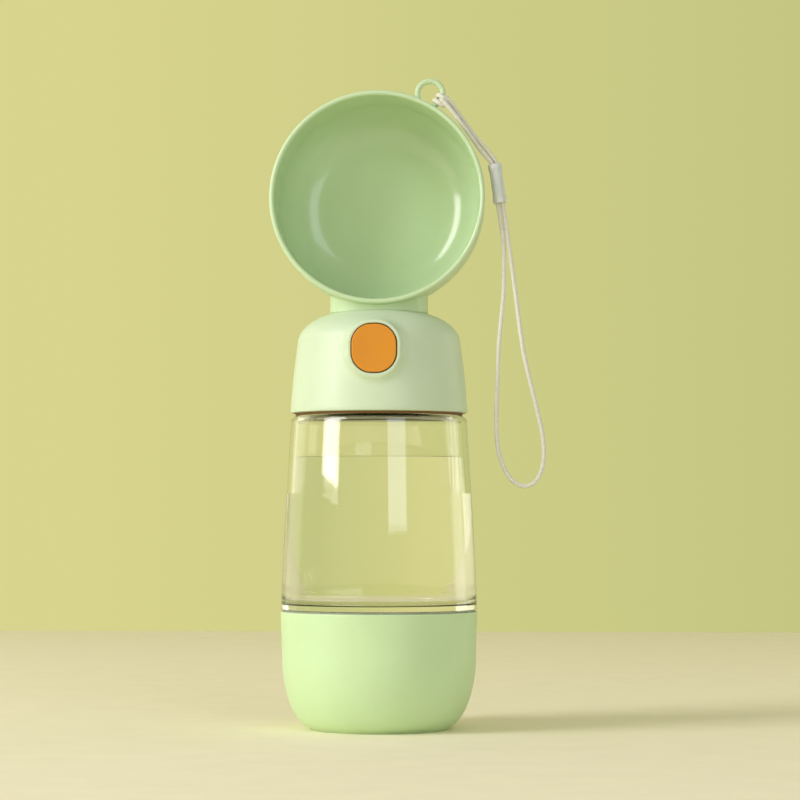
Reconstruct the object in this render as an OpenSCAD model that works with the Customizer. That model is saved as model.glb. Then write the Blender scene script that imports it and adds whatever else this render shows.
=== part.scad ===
// Travel water bottle for dogs: a clear bottle with a screw-on treat cup below
// and a domed cap above, whose push button lets water run into the drinking
// bowl on the cap's swivel neck. Millimetres. The foot stands on z = 0, the
// bottle's axis is Z, and the button and the bowl's mouth face -Y.

/* [Base cup] */
// Outer radius of the body, at the treat cup's rim
body_r = 36.4; // [34:0.1:42]
// Height of the treat cup
base_h = 43.4; // [38:0.2:60]
// How far the cup's wall draws in from its rim to its rounded foot
cup_draft = 0.5; // [0:0.1:1]
// Width of the rounded corner, measured inward from the wall
corner_w = 12.4; // [8:0.2:16]
// Height of the rounded corner
corner_h = 26; // [16:0.5:26]
// How far the flat foot lies inside the wall
foot_inset = 10.5; // [8:0.1:12]
// Height at which the rounded corner starts above the foot
foot_h = 1; // [0.6:0.1:2]
// Wall thickness of the cup
base_wall = 2; // [1.6:0.1:2.4]
// Floor thickness of the cup
base_floor = 2.4; // [1.6:0.1:4]

/* [Bottle] */
// Height of the clear bottle from its floor flange to the shoulder
bottle_h = 71.8; // [60:0.5:120]
// How far the floor flange lies inside the cup's rim
flange_inset = 0.1; // [0:0.1:0.4]
// How much narrower the bottle is at its shoulder than at its flange
bottle_taper = 3.7; // [2:0.1:5]
// How far the side bulges out from a straight taper
bottle_bulge = 0.3; // [0:0.1:1]
// Wall thickness of the bottle
bottle_wall = 2.2; // [1.4:0.1:3]
// Floor thickness of the bottle
bottle_floor = 2; // [1.4:0.1:4]
// Radius of the rounded shoulder
shoulder_round = 2.4; // [1.5:0.1:3.5]
// Width of the shoulder, from the side to the neck
shoulder_w = 6.2; // [5.8:0.1:9]
// Height of the neck above the shoulder
neck_h = 9; // [8:0.2:12]
// Wall thickness of the neck
neck_wall = 2.2; // [1.6:0.1:3]
// Depth of the threaded skirt that screws into the treat cup
skirt_h = 12.9; // [11.6:0.1:14]
// Wall thickness of the skirt
skirt_wall = 2.2; // [1.6:0.1:3]

/* [Screw threads] */
// Rise of the thread in one turn
thread_lead = 6; // [5:0.5:6]
// Number of thread starts
thread_starts = 2; // [1:1:2]
// Height of the thread ridge above its wall
thread_depth = 1.1; // [0.8:0.1:1.2]
// Arc that each ridge runs round, in degrees
thread_run = 300; // [120:10:300]
// Width of the ridge at its root
ridge_root = 1.3; // [0.9:0.1:1.4]
// Width of the ridge at its crest
ridge_crest = 0.7; // [0.5:0.1:0.8]
// Radial play between the two halves of a screw joint
thread_play = 0.3; // [0.2:0.05:0.5]

/* [Seals] */
// Depth of the recess in the cup's rim that holds the base seal
seal_recess = 1.2; // [1:0.1:1.4]
// Gap between the cup's rim and the bottle's flange
rim_gap = 0.5; // [0.3:0.1:0.8]
// Width of the step that the base seal lies on
seal_step = 1.1; // [0.8:0.1:1.4]
// Height of the orange seal ring under the cap
cap_seal_h = 1.3; // [1:0.1:2]
// How far the orange ring lies back from the cap's lower edge
cap_seal_inset = 1.3; // [0.8:0.1:1.4]
// Radius of the O-rings' cross section
oring_r = 0.65; // [0.5:0.05:0.7]

/* [Cap] */
// How far the cap's lower edge stands out past the bottle's shoulder
cap_overhang = 0.3; // [0:0.1:1]
// How much narrower the cap is at its own shoulder than at its lower edge
cap_taper = 2.7; // [2:0.1:3]
// Height of the cap's shoulder above the button's centre
cap_shoulder_rise = 3.6; // [2:0.1:6]
// How far the cap's side bulges out from a straight taper
cap_bulge = 0.25; // [0:0.05:0.6]
// Width of the cap's rounded shoulder
cap_corner_w = 16.2; // [12:0.2:18]
// Height of the cap's rounded shoulder
cap_corner_h = 11.8; // [10:0.2:14]
// Wall thickness of the cap's cover
cap_wall = 1.8; // [1.4:0.1:2]
// Thickness of the deck across the cap's threaded core
deck_h = 2; // [1.6:0.1:2.4]
// Gap between the bottle's neck and the deck
neck_gap = 1.2; // [0.8:0.1:2]

/* [Button] */
// Width of the button
button_w = 16.8; // [16:0.2:19]
// Height of the button
button_h = 18; // [16:0.2:20]
// Corner radius of the button
button_corner = 7.8; // [4:0.2:8]
// Height of the button's lower edge above the deck
button_lift = 2.1; // [0.6:0.1:3]
// How far the button's face stands out from the cap's side
button_proud = 2.9; // [2:0.1:4]
// Wall thickness of the button
button_wall = 1.6; // [1.2:0.1:2]
// Running gap round the button
button_gap = 0.2; // [0.15:0.05:0.4]
// Width of the raised frame round the button
bezel_w = 1.4; // [1:0.1:2]
// How far the button can be pressed
press_travel = 2.2; // [1:0.1:2.4]
// Radius of the push rod
rod_r = 2.2; // [1.6:0.1:2.5]

/* [Valve] */
// Radius of the port in the deck
port_r = 5.5; // [5:0.1:6.5]
// Radius of the washer under the port
washer_r = 7.5; // [7:0.1:10]
// Thickness of the washer
washer_h = 1.5; // [1:0.1:2]
// Radius of the valve stem
stem_r = 1.6; // [1.2:0.1:1.8]
// Radius of the guide hub in the port
hub_r = 3; // [2.8:0.1:3.4]
// Width of the spokes that carry the hub
spoke_w = 1.4; // [1:0.1:2]
// Inner radius of the water duct on the deck
duct_r = 9; // [8:0.1:10]
// Wall thickness of the water duct
duct_wall = 1.5; // [1.2:0.1:2]
// Wire radius of the springs
wire_r = 0.25; // [0.2:0.05:0.3]

/* [Bowl] */
// Outer radius of the bowl's rim
bowl_r = 39.7; // [34:0.1:44]
// Depth of the bowl over all
bowl_depth = 33; // [28:0.5:40]
// Wall thickness of the bowl
bowl_wall = 1.9; // [1.5:0.1:2.5]
// Draft angle of the bowl's side
bowl_draft = 1.5; // [0:0.1:4]
// Radius of the curve between the bowl's side and its floor
bowl_round = 18; // [10:0.5:20]
// Angle that the bowl's mouth is tipped back
bowl_tilt = 3.5; // [0:0.5:10]
// How far the centre of the mouth lies in front of the bottle's axis
bowl_forward = 16; // [12:0.5:20]
// Height of the rim's lowest edge above the cap's top
bowl_rise = 1.7; // [1.4:0.1:3.4]
// Outer radius of the bowl's round neck
collar_r = 18.2; // [15:0.1:20]
// Wall of the spigot's nose between its O-ring and the water outlet
nose_wall = 1.1; // [0.8:0.1:2]
// How far the spigot stands out past its nose, where it passes through the cap
spigot_step = 2.3; // [1.8:0.1:3]
// Gap under the bowl's neck, and round its spigot
swivel_gap = 0.3; // [0.2:0.05:0.5]

/* [Wrist cord] */
// Diameter of the cord
cord_d = 1.7; // [1.2:0.1:1.8]
// Ring radius of the eye that the cord hangs on
eye_r = 4.7; // [4:0.1:5]
// Bar radius of the eye
eye_bar_r = 1.05; // [0.8:0.05:1.2]
// Place of the eye round the rim, in degrees from the top
eye_angle = 26.6; // [20:0.2:32]
// How far the eye lies behind the rim
eye_back = 3.6; // [3:0.1:5]
// Length of the slider bead
slider_l = 14.6; // [12:0.2:16]
// Wall thickness of the slider bead
slider_wall = 0.65; // [0.5:0.05:0.8]

/* [Hidden] */

$fn = 128;
fine = 12;
far = 200;
edge = 0.4;
fit = 0.1;
clear = 0.3;
thread_step = 10;
coil_steps = 8;
wire_sides = 6;
cord_sides = 8;

cup_green = [0.79, 0.92, 0.66];
cap_green = [0.84, 0.91, 0.74];
bowl_green = [0.68, 0.80, 0.56];
clear_wall = [0.93, 0.95, 0.85, 0.35];
orange = [0.93, 0.55, 0.12];
seal_orange = [0.62, 0.34, 0.10];
soft_white = [0.93, 0.94, 0.92];
inner_white = [0.90, 0.91, 0.88];
steel = [0.72, 0.73, 0.75];
cord_white = [0.90, 0.88, 0.78];

// Radii of the body, each from the one below it
base_low_r = body_r - cup_draft;
foot_r = base_low_r - foot_inset;
bottle_low_r = body_r - flange_inset;
bottle_top_r = bottle_low_r - bottle_taper;
neck_r = bottle_top_r - shoulder_w;
cap_low_r = bottle_top_r + cap_overhang;
cap_high_r = cap_low_r - cap_taper;

// Screw joint between the treat cup and the bottle
cup_bore_r = base_low_r - base_wall;
skirt_r = cup_bore_r - thread_depth - thread_play;
bottle_z = base_h + rim_gap;
seal_z = base_h - seal_recess;
cup_ridge_z = seal_z - clear - ridge_root / 2 - thread_lead * thread_run / 360;

// Screw joint between the bottle's neck and the cap
shoulder_z = bottle_z + bottle_h;
neck_z = shoulder_z + neck_h;
cap_z = shoulder_z + cap_seal_h;
core_bore_r = neck_r + thread_depth + thread_play;
neck_ridge_z = shoulder_z + cap_seal_h + clear + ridge_root / 2;
thread_pitch = thread_lead / thread_starts;

// Cap
deck_z = neck_z + neck_gap;
deck_top_z = deck_z + deck_h;
button_z = deck_top_z + button_lift + button_h / 2;
cap_side_z = button_z + cap_shoulder_rise;
cap_side_h = cap_side_z - cap_z;
cap_top_z = cap_side_z + cap_corner_h;
cap_roof_z = cap_top_z - cap_wall;
core_flange_h = 2;

// Button, rod and sloped head
window_w = button_w + 2 * button_gap;
window_h = button_h + 2 * button_gap;
button_y = -cap_r(button_z) - button_proud;
bezel_y = button_y + edge;
slope_rise = 0.9;
slope_gap = 0.15;
slope_z = button_z + slope_rise;
socket_wall = 1.4;
socket_l = 4;
socket_y = button_y + button_wall + socket_l;
tab_w = 1.6;
tab_x = button_w / 2 + tab_w;
tab_z = 2.2;
tab_t = 1.4;
tab_y = -sqrt(pow(cap_r(button_z + tab_z) - cap_wall - clear, 2) - pow(tab_x, 2));

// Valve
clip_room = 2.4;
duct_z = cap_roof_z - clip_room;
duct_outer_r = duct_r + duct_wall;
duct_flange_w = 2.5;
duct_flange_h = 1.6;
gland_wall = 1.2;
gland_l = 3.8;
gland_y = -duct_outer_r - gland_l;
oring_bore_r = rod_r + 2 * oring_r + fit;
gland_r = oring_bore_r + gland_wall;
nut_h = 2.2;
nut_w = 1.6;
stem_end = 0.4;
stem_collar_w = 1;
stem_collar_h = 0.6;
hub_gap = 0.2;
hub_z = deck_z + stem_collar_h + hub_gap;
head_w = 5;
head_lip = 0.5;
head_z = button_z - rod_r + fit;
head_back = rod_r - slope_rise + press_travel + head_lip;
coil_seat = 0.05;
valve_coils = 5;
button_coils = 6;

// Bowl
bowl_z = cap_top_z + bowl_rise + bowl_r;
collar_z = cap_top_z + swivel_gap;
collar_h = 13.5;
collar_round = 7;
nose_r = duct_r - swivel_gap;
nose_l = 4;
nose_z = duct_z - nose_l;
oring_seat_z = nose_z + nose_l / 2;
groove_r = duct_r - 2 * oring_r - fit;
outlet_r = groove_r - nose_wall;
spigot_r = nose_r + spigot_step;
groove_h = 1;
groove_z = cap_roof_z - swivel_gap - groove_h;
groove_depth = 1;
clip_w = 3.15;
clip_gap = 40;

// Eye, hitch and bead of the wrist cord
eye_dist = bowl_r + eye_r - eye_bar_r;
hitch_angle = -35;
hitch_play = 0.05;
hitch_wrap_r = eye_bar_r + cord_d / 2 + hitch_play;
bead_play = 0.25;
slider_bore_r = cord_d + bead_play;
slider_r = slider_bore_r + slider_wall;
slider_top = [43.2, -10, 208];
slider_lean = 8;

// Route of the wrist cord, from the hitch down through the bead, round the
// loop and back up through the bead to the hitch
cord_route = [
    [23.8, -13.1, 231.6],
    [25.8, -13, 229.6],
    [29.8, -12.1, 224.6],
    [34.8, -11, 217.8],
    [38.4, -10.8, 212.6],
    [42.4, -10.5, 207.8],
    [43.1, -10, 202],
    [44.2, -10, 194.2],
    [45.4, -10.1, 186.4],
    [46.4, -10, 177.6],
    [46.4, -10, 161],
    [45.5, -10, 151],
    [44.6, -10, 141],
    [44.2, -10, 130],
    [43.8, -10, 120],
    [43.7, -10, 110.4],
    [44.5, -10, 102.4],
    [46.7, -10, 95.6],
    [49.7, -10, 91.4],
    [53.5, -10, 89.5],
    [57.3, -10, 90.7],
    [60, -10, 94.8],
    [61, -10, 101],
    [60.6, -10, 108],
    [58.9, -10, 116],
    [54.4, -10, 135],
    [53, -10, 143],
    [51.8, -10, 151.6],
    [50.8, -10, 160],
    [48.4, -10, 177.6],
    [47.2, -9.9, 186.4],
    [46, -10, 194.2],
    [44.9, -10, 202],
    [43.9, -9.5, 208.2],
    [40.2, -9.1, 213.6],
    [35.8, -9.3, 218.6],
    [30.9, -10, 225.4],
    [27.4, -11.1, 230.4],
    [25, -11.8, 233]];

// Height along a side that bulges out from a straight taper
function bulged(r0, z0, r1, z1, bulge) =
    [for (i = [0:fine]) let (s = i / fine)
        [r0 + (r1 - r0) * s + 4 * bulge * s * (1 - s), z0 + (z1 - z0) * s]];

// Arc of an ellipse about [cx, cz], from angle t0 to angle t1
function arc(cx, cz, a, b, t0, t1) =
    [for (i = [0:fine]) let (t = t0 + (t1 - t0) * i / fine) [cx + a * cos(t), cz + b * sin(t)]];

// Outer radius of the cap's side at a height
function cap_r(z) =
    let (s = min(1, (z - cap_z) / cap_side_h))
    cap_low_r + (cap_high_r - cap_low_r) * s + 4 * cap_bulge * s * (1 - s);

// Point on a smooth curve through four route points, between the middle two
function spline(p0, p1, p2, p3, t) =
    0.5 * (2 * p1 + (p2 - p0) * t + (2 * p0 - 5 * p1 + 4 * p2 - p3) * t * t
        + (3 * p1 - p0 - 3 * p2 + p3) * t * t * t);

// Route with a number of points for each of its spans
function smooth(pts, n) =
    let (last = len(pts) - 1)
    concat([for (i = [0:last - 1], k = [0:n - 1])
        spline(pts[max(0, i - 1)], pts[i], pts[i + 1], pts[min(last, i + 2)], k / n)],
        [pts[last]]);

function unit(v) = v / norm(v);

// Direction of a route at one of its points
function heading(pts, i) = unit(pts[min(len(pts) - 1, i + 1)] - pts[max(0, i - 1)]);

// Tube of round section swept along a route, as one closed mesh
module sweep(pts, r, sides, up) {
    n = len(pts);
    rings = [for (i = [0:n - 1])
        let (d = heading(pts, i), u = unit(cross(up, d)), v = cross(d, u))
        for (k = [0:sides - 1]) let (a = 360 * k / sides) pts[i] + r * (cos(a) * u + sin(a) * v)];
    sides_faces = [for (i = [0:n - 2], k = [0:sides - 1])
        let (a = i * sides + k, b = i * sides + (k + 1) % sides)
        each [[a, a + sides, b], [b, a + sides, b + sides]]];
    start_face = [[for (k = [0:sides - 1]) k]];
    end_face = [[for (k = [sides - 1:-1:0]) (n - 1) * sides + k]];
    polyhedron(points = rings, faces = concat(sides_faces, start_face, end_face));
}

// Helical ridges of a screw thread: root_r is inside the wall, crest_r is free
module ridges(root_r, crest_r, z) {
    turns = ceil(thread_run / thread_step);
    for (start = [0:thread_starts - 1])
        rotate([0, 0, start * 360 / thread_starts])
            ridge(root_r, crest_r, z, turns);
}

module ridge(root_r, crest_r, z, steps) {
    half = [ridge_root / 2, ridge_crest / 2];
    points = [for (i = [0:steps])
        let (a = thread_run * i / steps, c = z + thread_lead * a / 360)
        each [
            [root_r * cos(a), root_r * sin(a), c - half[0]],
            [crest_r * cos(a), crest_r * sin(a), c - half[1]],
            [crest_r * cos(a), crest_r * sin(a), c + half[1]],
            [root_r * cos(a), root_r * sin(a), c + half[0]]]];
    flip = root_r > crest_r;
    walls = [for (i = [0:steps - 1], k = [0:3])
        let (a = 4 * i + k, b = 4 * i + (k + 1) % 4)
        each [[a, b, a + 4], [b, b + 4, a + 4]]];
    ends = [[3, 2, 1], [3, 1, 0], [4 * steps, 4 * steps + 1, 4 * steps + 2],
        [4 * steps, 4 * steps + 2, 4 * steps + 3]];
    faces = concat(walls, ends);
    polyhedron(points = points, faces = flip ? [for (f = faces) [f[2], f[1], f[0]]] : faces);
}

// Coil spring along +Z from the origin
module coil(mean_r, length, turns) {
    steps = turns * coil_steps;
    rise = length - 2 * wire_r;
    pts = [for (i = [0:steps])
        [mean_r * cos(360 * i / coil_steps), mean_r * sin(360 * i / coil_steps), wire_r + rise * i / steps]];
    sweep(pts, wire_r, wire_sides, [0, 0, 1]);
}

// Rounded rectangle in the plane of the button's face
module rounded_plate(w, h, corner) {
    x = w / 2 - corner;
    y = h / 2 - corner;
    for (sx = [-x, x], sy = [-y, y])
        translate([sx, sy]) circle(corner);
    square([w, 2 * y], center = true);
    square([2 * x, h], center = true);
}

// Prism of the rounded rectangle, from a front plane back along +Y
module button_prism(w, h, corner, front_y, back_y) {
    translate([0, back_y, button_z])
        rotate([90, 0, 0])
            linear_extrude(back_y - front_y)
                rounded_plate(w, h, corner);
}

// Cylinder along +Y from a front plane, at the button's height
module rod_cylinder(r, front_y, back_y) {
    translate([0, back_y, button_z])
        rotate([90, 0, 0])
            cylinder(r = r, h = back_y - front_y);
}

// Ring of round section about Z
module o_ring(mean_r, z) {
    translate([0, 0, z])
        rotate_extrude()
            translate([mean_r, 0])
                circle(oring_r, $fn = 32);
}

module base_cup() color(cup_green) {
    corner_r = base_low_r - corner_w;
    corner_z = foot_h + corner_h;
    difference() {
        rotate_extrude() {
            polygon(concat(
                [[0, foot_h]],
                arc(corner_r, corner_z, corner_w, corner_h, -90, 0),
                [[body_r, base_h - edge], [body_r - edge, base_h], [0, base_h]]));
            polygon([[0, 0], [foot_r - edge, 0], [foot_r, edge], [foot_r, 2 * foot_h], [0, 2 * foot_h]]);
        }
        rotate_extrude()
            polygon(concat(
                [[0, foot_h + base_floor]],
                arc(corner_r, corner_z, corner_w - base_wall, corner_h - base_floor, -90, 0),
                [[cup_bore_r, base_h + 1], [0, base_h + 1]]));
        translate([0, 0, seal_z])
            cylinder(r = cup_bore_r + seal_step, h = seal_recess + 1);
    }
    ridges(cup_bore_r + clear, cup_bore_r - thread_depth, cup_ridge_z);
}

module base_seal() color(soft_white)
    translate([0, 0, seal_z])
        difference() {
            cylinder(r = cup_bore_r + seal_step - fit, h = seal_recess + rim_gap);
            translate([0, 0, -1])
                cylinder(r = skirt_r + clear, h = far);
        }

// Outer side of the bottle from the flange to the neck
function bottle_side(inset) =
    let (low = bottle_low_r - inset, top = bottle_top_r - inset, round = shoulder_round)
    concat(
        bulged(low, bottle_z + edge, top, shoulder_z - round, bottle_bulge),
        arc(top - round, shoulder_z - round, round, round - inset / 2, 0, 90));

module bottle() color(clear_wall) {
    difference() {
        union() {
            rotate_extrude()
                polygon(concat(
                    [[0, bottle_z], [bottle_low_r - edge, bottle_z]],
                    bottle_side(0),
                    [[neck_r, shoulder_z], [neck_r, neck_z], [0, neck_z]]));
            translate([0, 0, bottle_z - skirt_h])
                cylinder(r = skirt_r, h = skirt_h + edge);
        }
        rotate_extrude()
            polygon(concat(
                [[0, bottle_z + bottle_floor], [bottle_low_r - bottle_wall - 2, bottle_z + bottle_floor]],
                [for (p = bottle_side(bottle_wall)) if (p[1] > bottle_z + bottle_floor + 2) p],
                [[neck_r - neck_wall, shoulder_z - bottle_wall / 2], [neck_r - neck_wall, neck_z + 1],
                    [0, neck_z + 1]]));
        translate([0, 0, bottle_z - skirt_h - 1])
            cylinder(r = skirt_r - skirt_wall, h = skirt_h + 1);
    }
    ridges(neck_r - clear, neck_r + thread_depth, neck_ridge_z);
    ridges(skirt_r - clear, skirt_r + thread_depth, cup_ridge_z - thread_pitch / 2);
}

module cap_seal() color(seal_orange)
    translate([0, 0, shoulder_z])
        difference() {
            cylinder(r = cap_low_r - cap_seal_inset, h = cap_seal_h);
            translate([0, 0, -1])
                cylinder(r = core_bore_r, h = cap_seal_h + 2);
        }

// Profile of the cap's cover, or of the space inside it
function cap_side(inset) =
    concat(
        bulged(cap_low_r - inset, cap_z, cap_high_r - inset, cap_side_z, cap_bulge),
        arc(cap_high_r - cap_corner_w, cap_side_z, cap_corner_w - inset, cap_corner_h - inset, 0, 90));

module cap_shell() color(cap_green)
    difference() {
        union() {
            rotate_extrude()
                polygon(concat([[0, cap_z]], cap_side(0), [[0, cap_top_z]]));
            button_prism(window_w + 2 * bezel_w, window_h + 2 * bezel_w, button_corner + bezel_w,
                bezel_y, -cap_low_r / 2);
        }
        rotate_extrude()
            polygon(concat([[0, cap_z - 1], [cap_low_r - cap_wall, cap_z - 1]], cap_side(cap_wall),
                [[0, cap_roof_z]]));
        button_prism(window_w, window_h, button_corner + button_gap, bezel_y - 1, -cap_low_r / 2);
        cylinder(r = spigot_r + swivel_gap, h = far);
    }

module cap_core() color(inner_white) {
    outer_r = cap_r(deck_top_z) - cap_wall - clear;
    difference() {
        union() {
            translate([0, 0, cap_z])
                cylinder(r = outer_r, h = deck_top_z - cap_z);
            translate([0, 0, cap_z])
                cylinder(r = cap_r(cap_z + core_flange_h) - cap_wall, h = core_flange_h);
        }
        translate([0, 0, cap_z - 1])
            cylinder(r = core_bore_r, h = deck_z - cap_z + 1);
        cylinder(r = port_r, h = far);
    }
    ridges(core_bore_r + clear, core_bore_r - thread_depth, neck_ridge_z + thread_pitch / 2);
    difference() {
        union() {
            translate([0, 0, hub_z])
                cylinder(r = hub_r, h = deck_top_z - hub_z);
            for (a = [0:120:240])
                rotate([0, 0, a])
                    translate([0, -spoke_w / 2, hub_z])
                        cube([port_r + clear, spoke_w, deck_top_z - hub_z]);
        }
        cylinder(r = stem_r + fit, h = far);
    }
}

module valve_body() color(inner_white)
    difference() {
        union() {
            translate([0, 0, deck_top_z])
                cylinder(r = duct_outer_r, h = duct_z - deck_top_z);
            translate([0, 0, deck_top_z])
                cylinder(r = duct_outer_r + duct_flange_w, h = duct_flange_h);
            rod_cylinder(gland_r, gland_y, -duct_r);
        }
        translate([0, 0, deck_top_z - 1])
            cylinder(r = duct_r, h = duct_z);
        rod_cylinder(rod_r + fit, gland_y - 1, 0);
        rod_cylinder(oring_bore_r, gland_y - 1, gland_y + 2 * oring_r + fit);
    }

module rod_oring() color(soft_white)
    translate([0, gland_y + oring_r + fit / 2, button_z])
        rotate([90, 0, 0])
            o_ring(rod_r + oring_r + fit / 2, 0);

module valve_stem() color(inner_white) {
    end_z = deck_z - washer_h - nut_h - stem_end;
    translate([0, 0, end_z])
        cylinder(r = stem_r, h = head_z + edge - end_z);
    translate([0, 0, deck_z])
        cylinder(r = stem_r + stem_collar_w, h = stem_collar_h);
    translate([-head_w / 2, 0, 0])
        rotate([90, 0, 90])
            linear_extrude(head_w)
                polygon([[head_z - slope_z, head_z], [head_back, head_z], [head_back, slope_z + head_back]]);
}

module valve_washer() color(soft_white)
    translate([0, 0, deck_z - washer_h])
        difference() {
            cylinder(r = washer_r, h = washer_h);
            translate([0, 0, -1])
                cylinder(r = stem_r, h = washer_h + 2);
        }

module valve_nut() color(steel)
    translate([0, 0, deck_z - washer_h - nut_h])
        difference() {
            cylinder(r = stem_r + nut_w, h = nut_h, $fn = 6);
            translate([0, 0, -1])
                cylinder(r = stem_r, h = nut_h + 2);
        }

module valve_spring() color(steel)
    translate([0, 0, deck_top_z + coil_seat])
        coil(stem_r + fit + 2 * wire_r, head_z - deck_top_z - 2 * coil_seat, valve_coils);

module button() color(orange)
    difference() {
        union() {
            button_prism(button_w, button_h, button_corner, button_y, button_y + button_wall);
            difference() {
                button_prism(button_w, button_h, button_corner, button_y, tab_y + tab_t);
                button_prism(button_w - 2 * button_wall, button_h - 2 * button_wall,
                    button_corner - button_wall, button_y + button_wall, tab_y + tab_t + 1);
            }
            for (side = [-1, 1])
                translate([side * (tab_x + button_w / 2 - button_wall) / 2, tab_y + tab_t / 2, button_z])
                    cube([tab_x - button_w / 2 + button_wall, tab_t, 2 * tab_z], center = true);
            rod_cylinder(rod_r + socket_wall, button_y + button_wall / 2, socket_y);
        }
        rod_cylinder(rod_r, button_y + button_wall, socket_y + 1);
    }

module push_rod() color(steel)
    difference() {
        rod_cylinder(rod_r, button_y + button_wall, rod_r + fit);
        translate([-far / 2, 0, 0])
            rotate([90, 0, 90])
                linear_extrude(far)
                    polygon([[-2 * rod_r, slope_z + slope_gap - 2 * rod_r],
                        [2 * rod_r, slope_z + slope_gap + 2 * rod_r],
                        [2 * rod_r, button_z - 2 * rod_r], [-2 * rod_r, button_z - 2 * rod_r]]);
    }

module button_spring() color(steel)
    translate([0, socket_y + coil_seat, button_z])
        rotate([-90, 0, 0])
            coil(rod_r + socket_wall - wire_r, gland_y - socket_y - 2 * coil_seat, button_coils);

// Puts the bowl's own frame, with +Z out of its mouth, in its place
module at_bowl() {
    translate([0, -bowl_forward, bowl_z])
        rotate([90 - bowl_tilt, 0, 0])
            children();
}

// Side and floor curve of the bowl: its outside, or its inside with a wall
function bowl_side(wall) =
    let (turn_z = bowl_round - bowl_depth,
        turn_r = bowl_r + turn_z * tan(bowl_draft) - wall,
        round = bowl_round - wall)
    concat([[0, wall - bowl_depth]], arc(turn_r - round, turn_z, round, round, -90, 0));

module bowl() color(bowl_green)
    difference() {
        union() {
            at_bowl()
                rotate_extrude()
                    polygon(concat(bowl_side(0), arc(bowl_r - bowl_wall / 2, -bowl_wall / 2,
                        bowl_wall / 2, bowl_wall / 2, 0, 90), [[0, 0]]));
            translate([0, 0, collar_z])
                rotate_extrude()
                    polygon(concat([[0, 0], [collar_r - edge, 0], [collar_r, edge]],
                        arc(collar_r - collar_round, collar_h - collar_round,
                            collar_round, collar_round, 0, 90), [[0, collar_h]]));
            translate([0, 0, duct_z + swivel_gap])
                cylinder(r = spigot_r, h = collar_z - duct_z);
            translate([0, 0, nose_z])
                cylinder(r = nose_r, h = collar_z - nose_z);
            at_bowl()
                rotate([0, 0, -eye_angle])
                    translate([0, eye_dist, -eye_back])
                        rotate_extrude()
                            translate([eye_r, 0])
                                circle(eye_bar_r, $fn = 32);
        }
        at_bowl()
            rotate_extrude()
                polygon(concat(bowl_side(bowl_wall), arc(bowl_r - bowl_wall / 2, -bowl_wall / 2,
                    -bowl_wall / 2, bowl_wall / 2, 0, 90), [[bowl_r - bowl_wall / 2, 1], [0, 1]]));
        translate([0, 0, nose_z - 1])
            cylinder(r = outlet_r, h = bowl_z - bowl_r + 3 * bowl_wall - nose_z);
        translate([0, 0, groove_z])
            difference() {
                cylinder(r = spigot_r + 1, h = groove_h);
                cylinder(r = spigot_r - groove_depth, h = groove_h);
            }
        translate([0, 0, oring_seat_z - oring_r - fit])
            difference() {
                cylinder(r = nose_r + 1, h = 2 * oring_r + 2 * fit);
                cylinder(r = groove_r, h = 2 * oring_r + 2 * fit);
            }
    }

module neck_oring() color(soft_white)
    o_ring(duct_r - oring_r - fit / 2, oring_seat_z);

module neck_clip() color(steel)
    translate([0, 0, groove_z + fit])
        rotate([0, 0, 90 + clip_gap / 2])
            rotate_extrude(angle = 360 - clip_gap)
                translate([spigot_r - groove_depth + fit, 0])
                    square([clip_w, groove_h - 2 * fit]);

module lanyard_cord() color(cord_white)
    sweep(smooth(cord_route, 2), cord_d / 2, cord_sides, [0, 1, 0]);

// Lark's-head hitch: two wraps round the eye's bar and the bar of cord across them
module lanyard_hitch() color(cord_white)
    at_bowl()
        rotate([0, 0, -eye_angle])
            translate([0, eye_dist, -eye_back])
                rotate([0, 0, hitch_angle + eye_angle])
                    translate([eye_r, 0, 0]) {
                        for (side = [-1, 1])
                            translate([0, side * cord_d * 0.52, 0])
                                rotate([90, 0, 0])
                                    rotate_extrude()
                                        translate([hitch_wrap_r, 0])
                                            circle(cord_d / 2, $fn = 24);
                        translate([hitch_wrap_r, 0, 0])
                            rotate([0, 90, 0])
                                translate([0, 0, cord_d * 0.4])
                                    sphere(cord_d * 0.9, $fn = 32);
                    }

module cord_slider() color(soft_white)
    translate(slider_top)
        rotate([0, 180 - slider_lean, 0])
            difference() {
                rotate_extrude()
                    polygon(concat([[0, 0]], arc(slider_r - 1, 1, 1, 1, -90, 0),
                        arc(slider_r - 1, slider_l - 1, 1, 1, 0, 90), [[0, slider_l]]));
                translate([0, 0, -1])
                    cylinder(r = slider_bore_r, h = slider_l + 2);
            }

base_cup();
base_seal();
bottle();
cap_seal();
cap_shell();
cap_core();
valve_body();
rod_oring();
valve_stem();
valve_washer();
valve_nut();
valve_spring();
button();
push_rod();
button_spring();
bowl();
neck_oring();
neck_clip();
lanyard_cord();
lanyard_hitch();
cord_slider();
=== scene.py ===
# %% [markdown]
# # A travel water bottle for dogs
#
# This lesson dresses a working model of a dog's travel bottle. The model comes in as a fixed
# frame: it says how large each piece is, where it sits and which pieces move together. Here
# each piece that shows gets its finished surface: rounded moulded edges, real threads, a
# braided cord, clear plastic with water behind it. One unit is a metre, Z is up, and the
# button and the bowl's mouth face -Y.

# %% Load the frame
import math

import bmesh
import bpy
import numpy as np
from mathutils import Matrix, Vector


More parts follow.
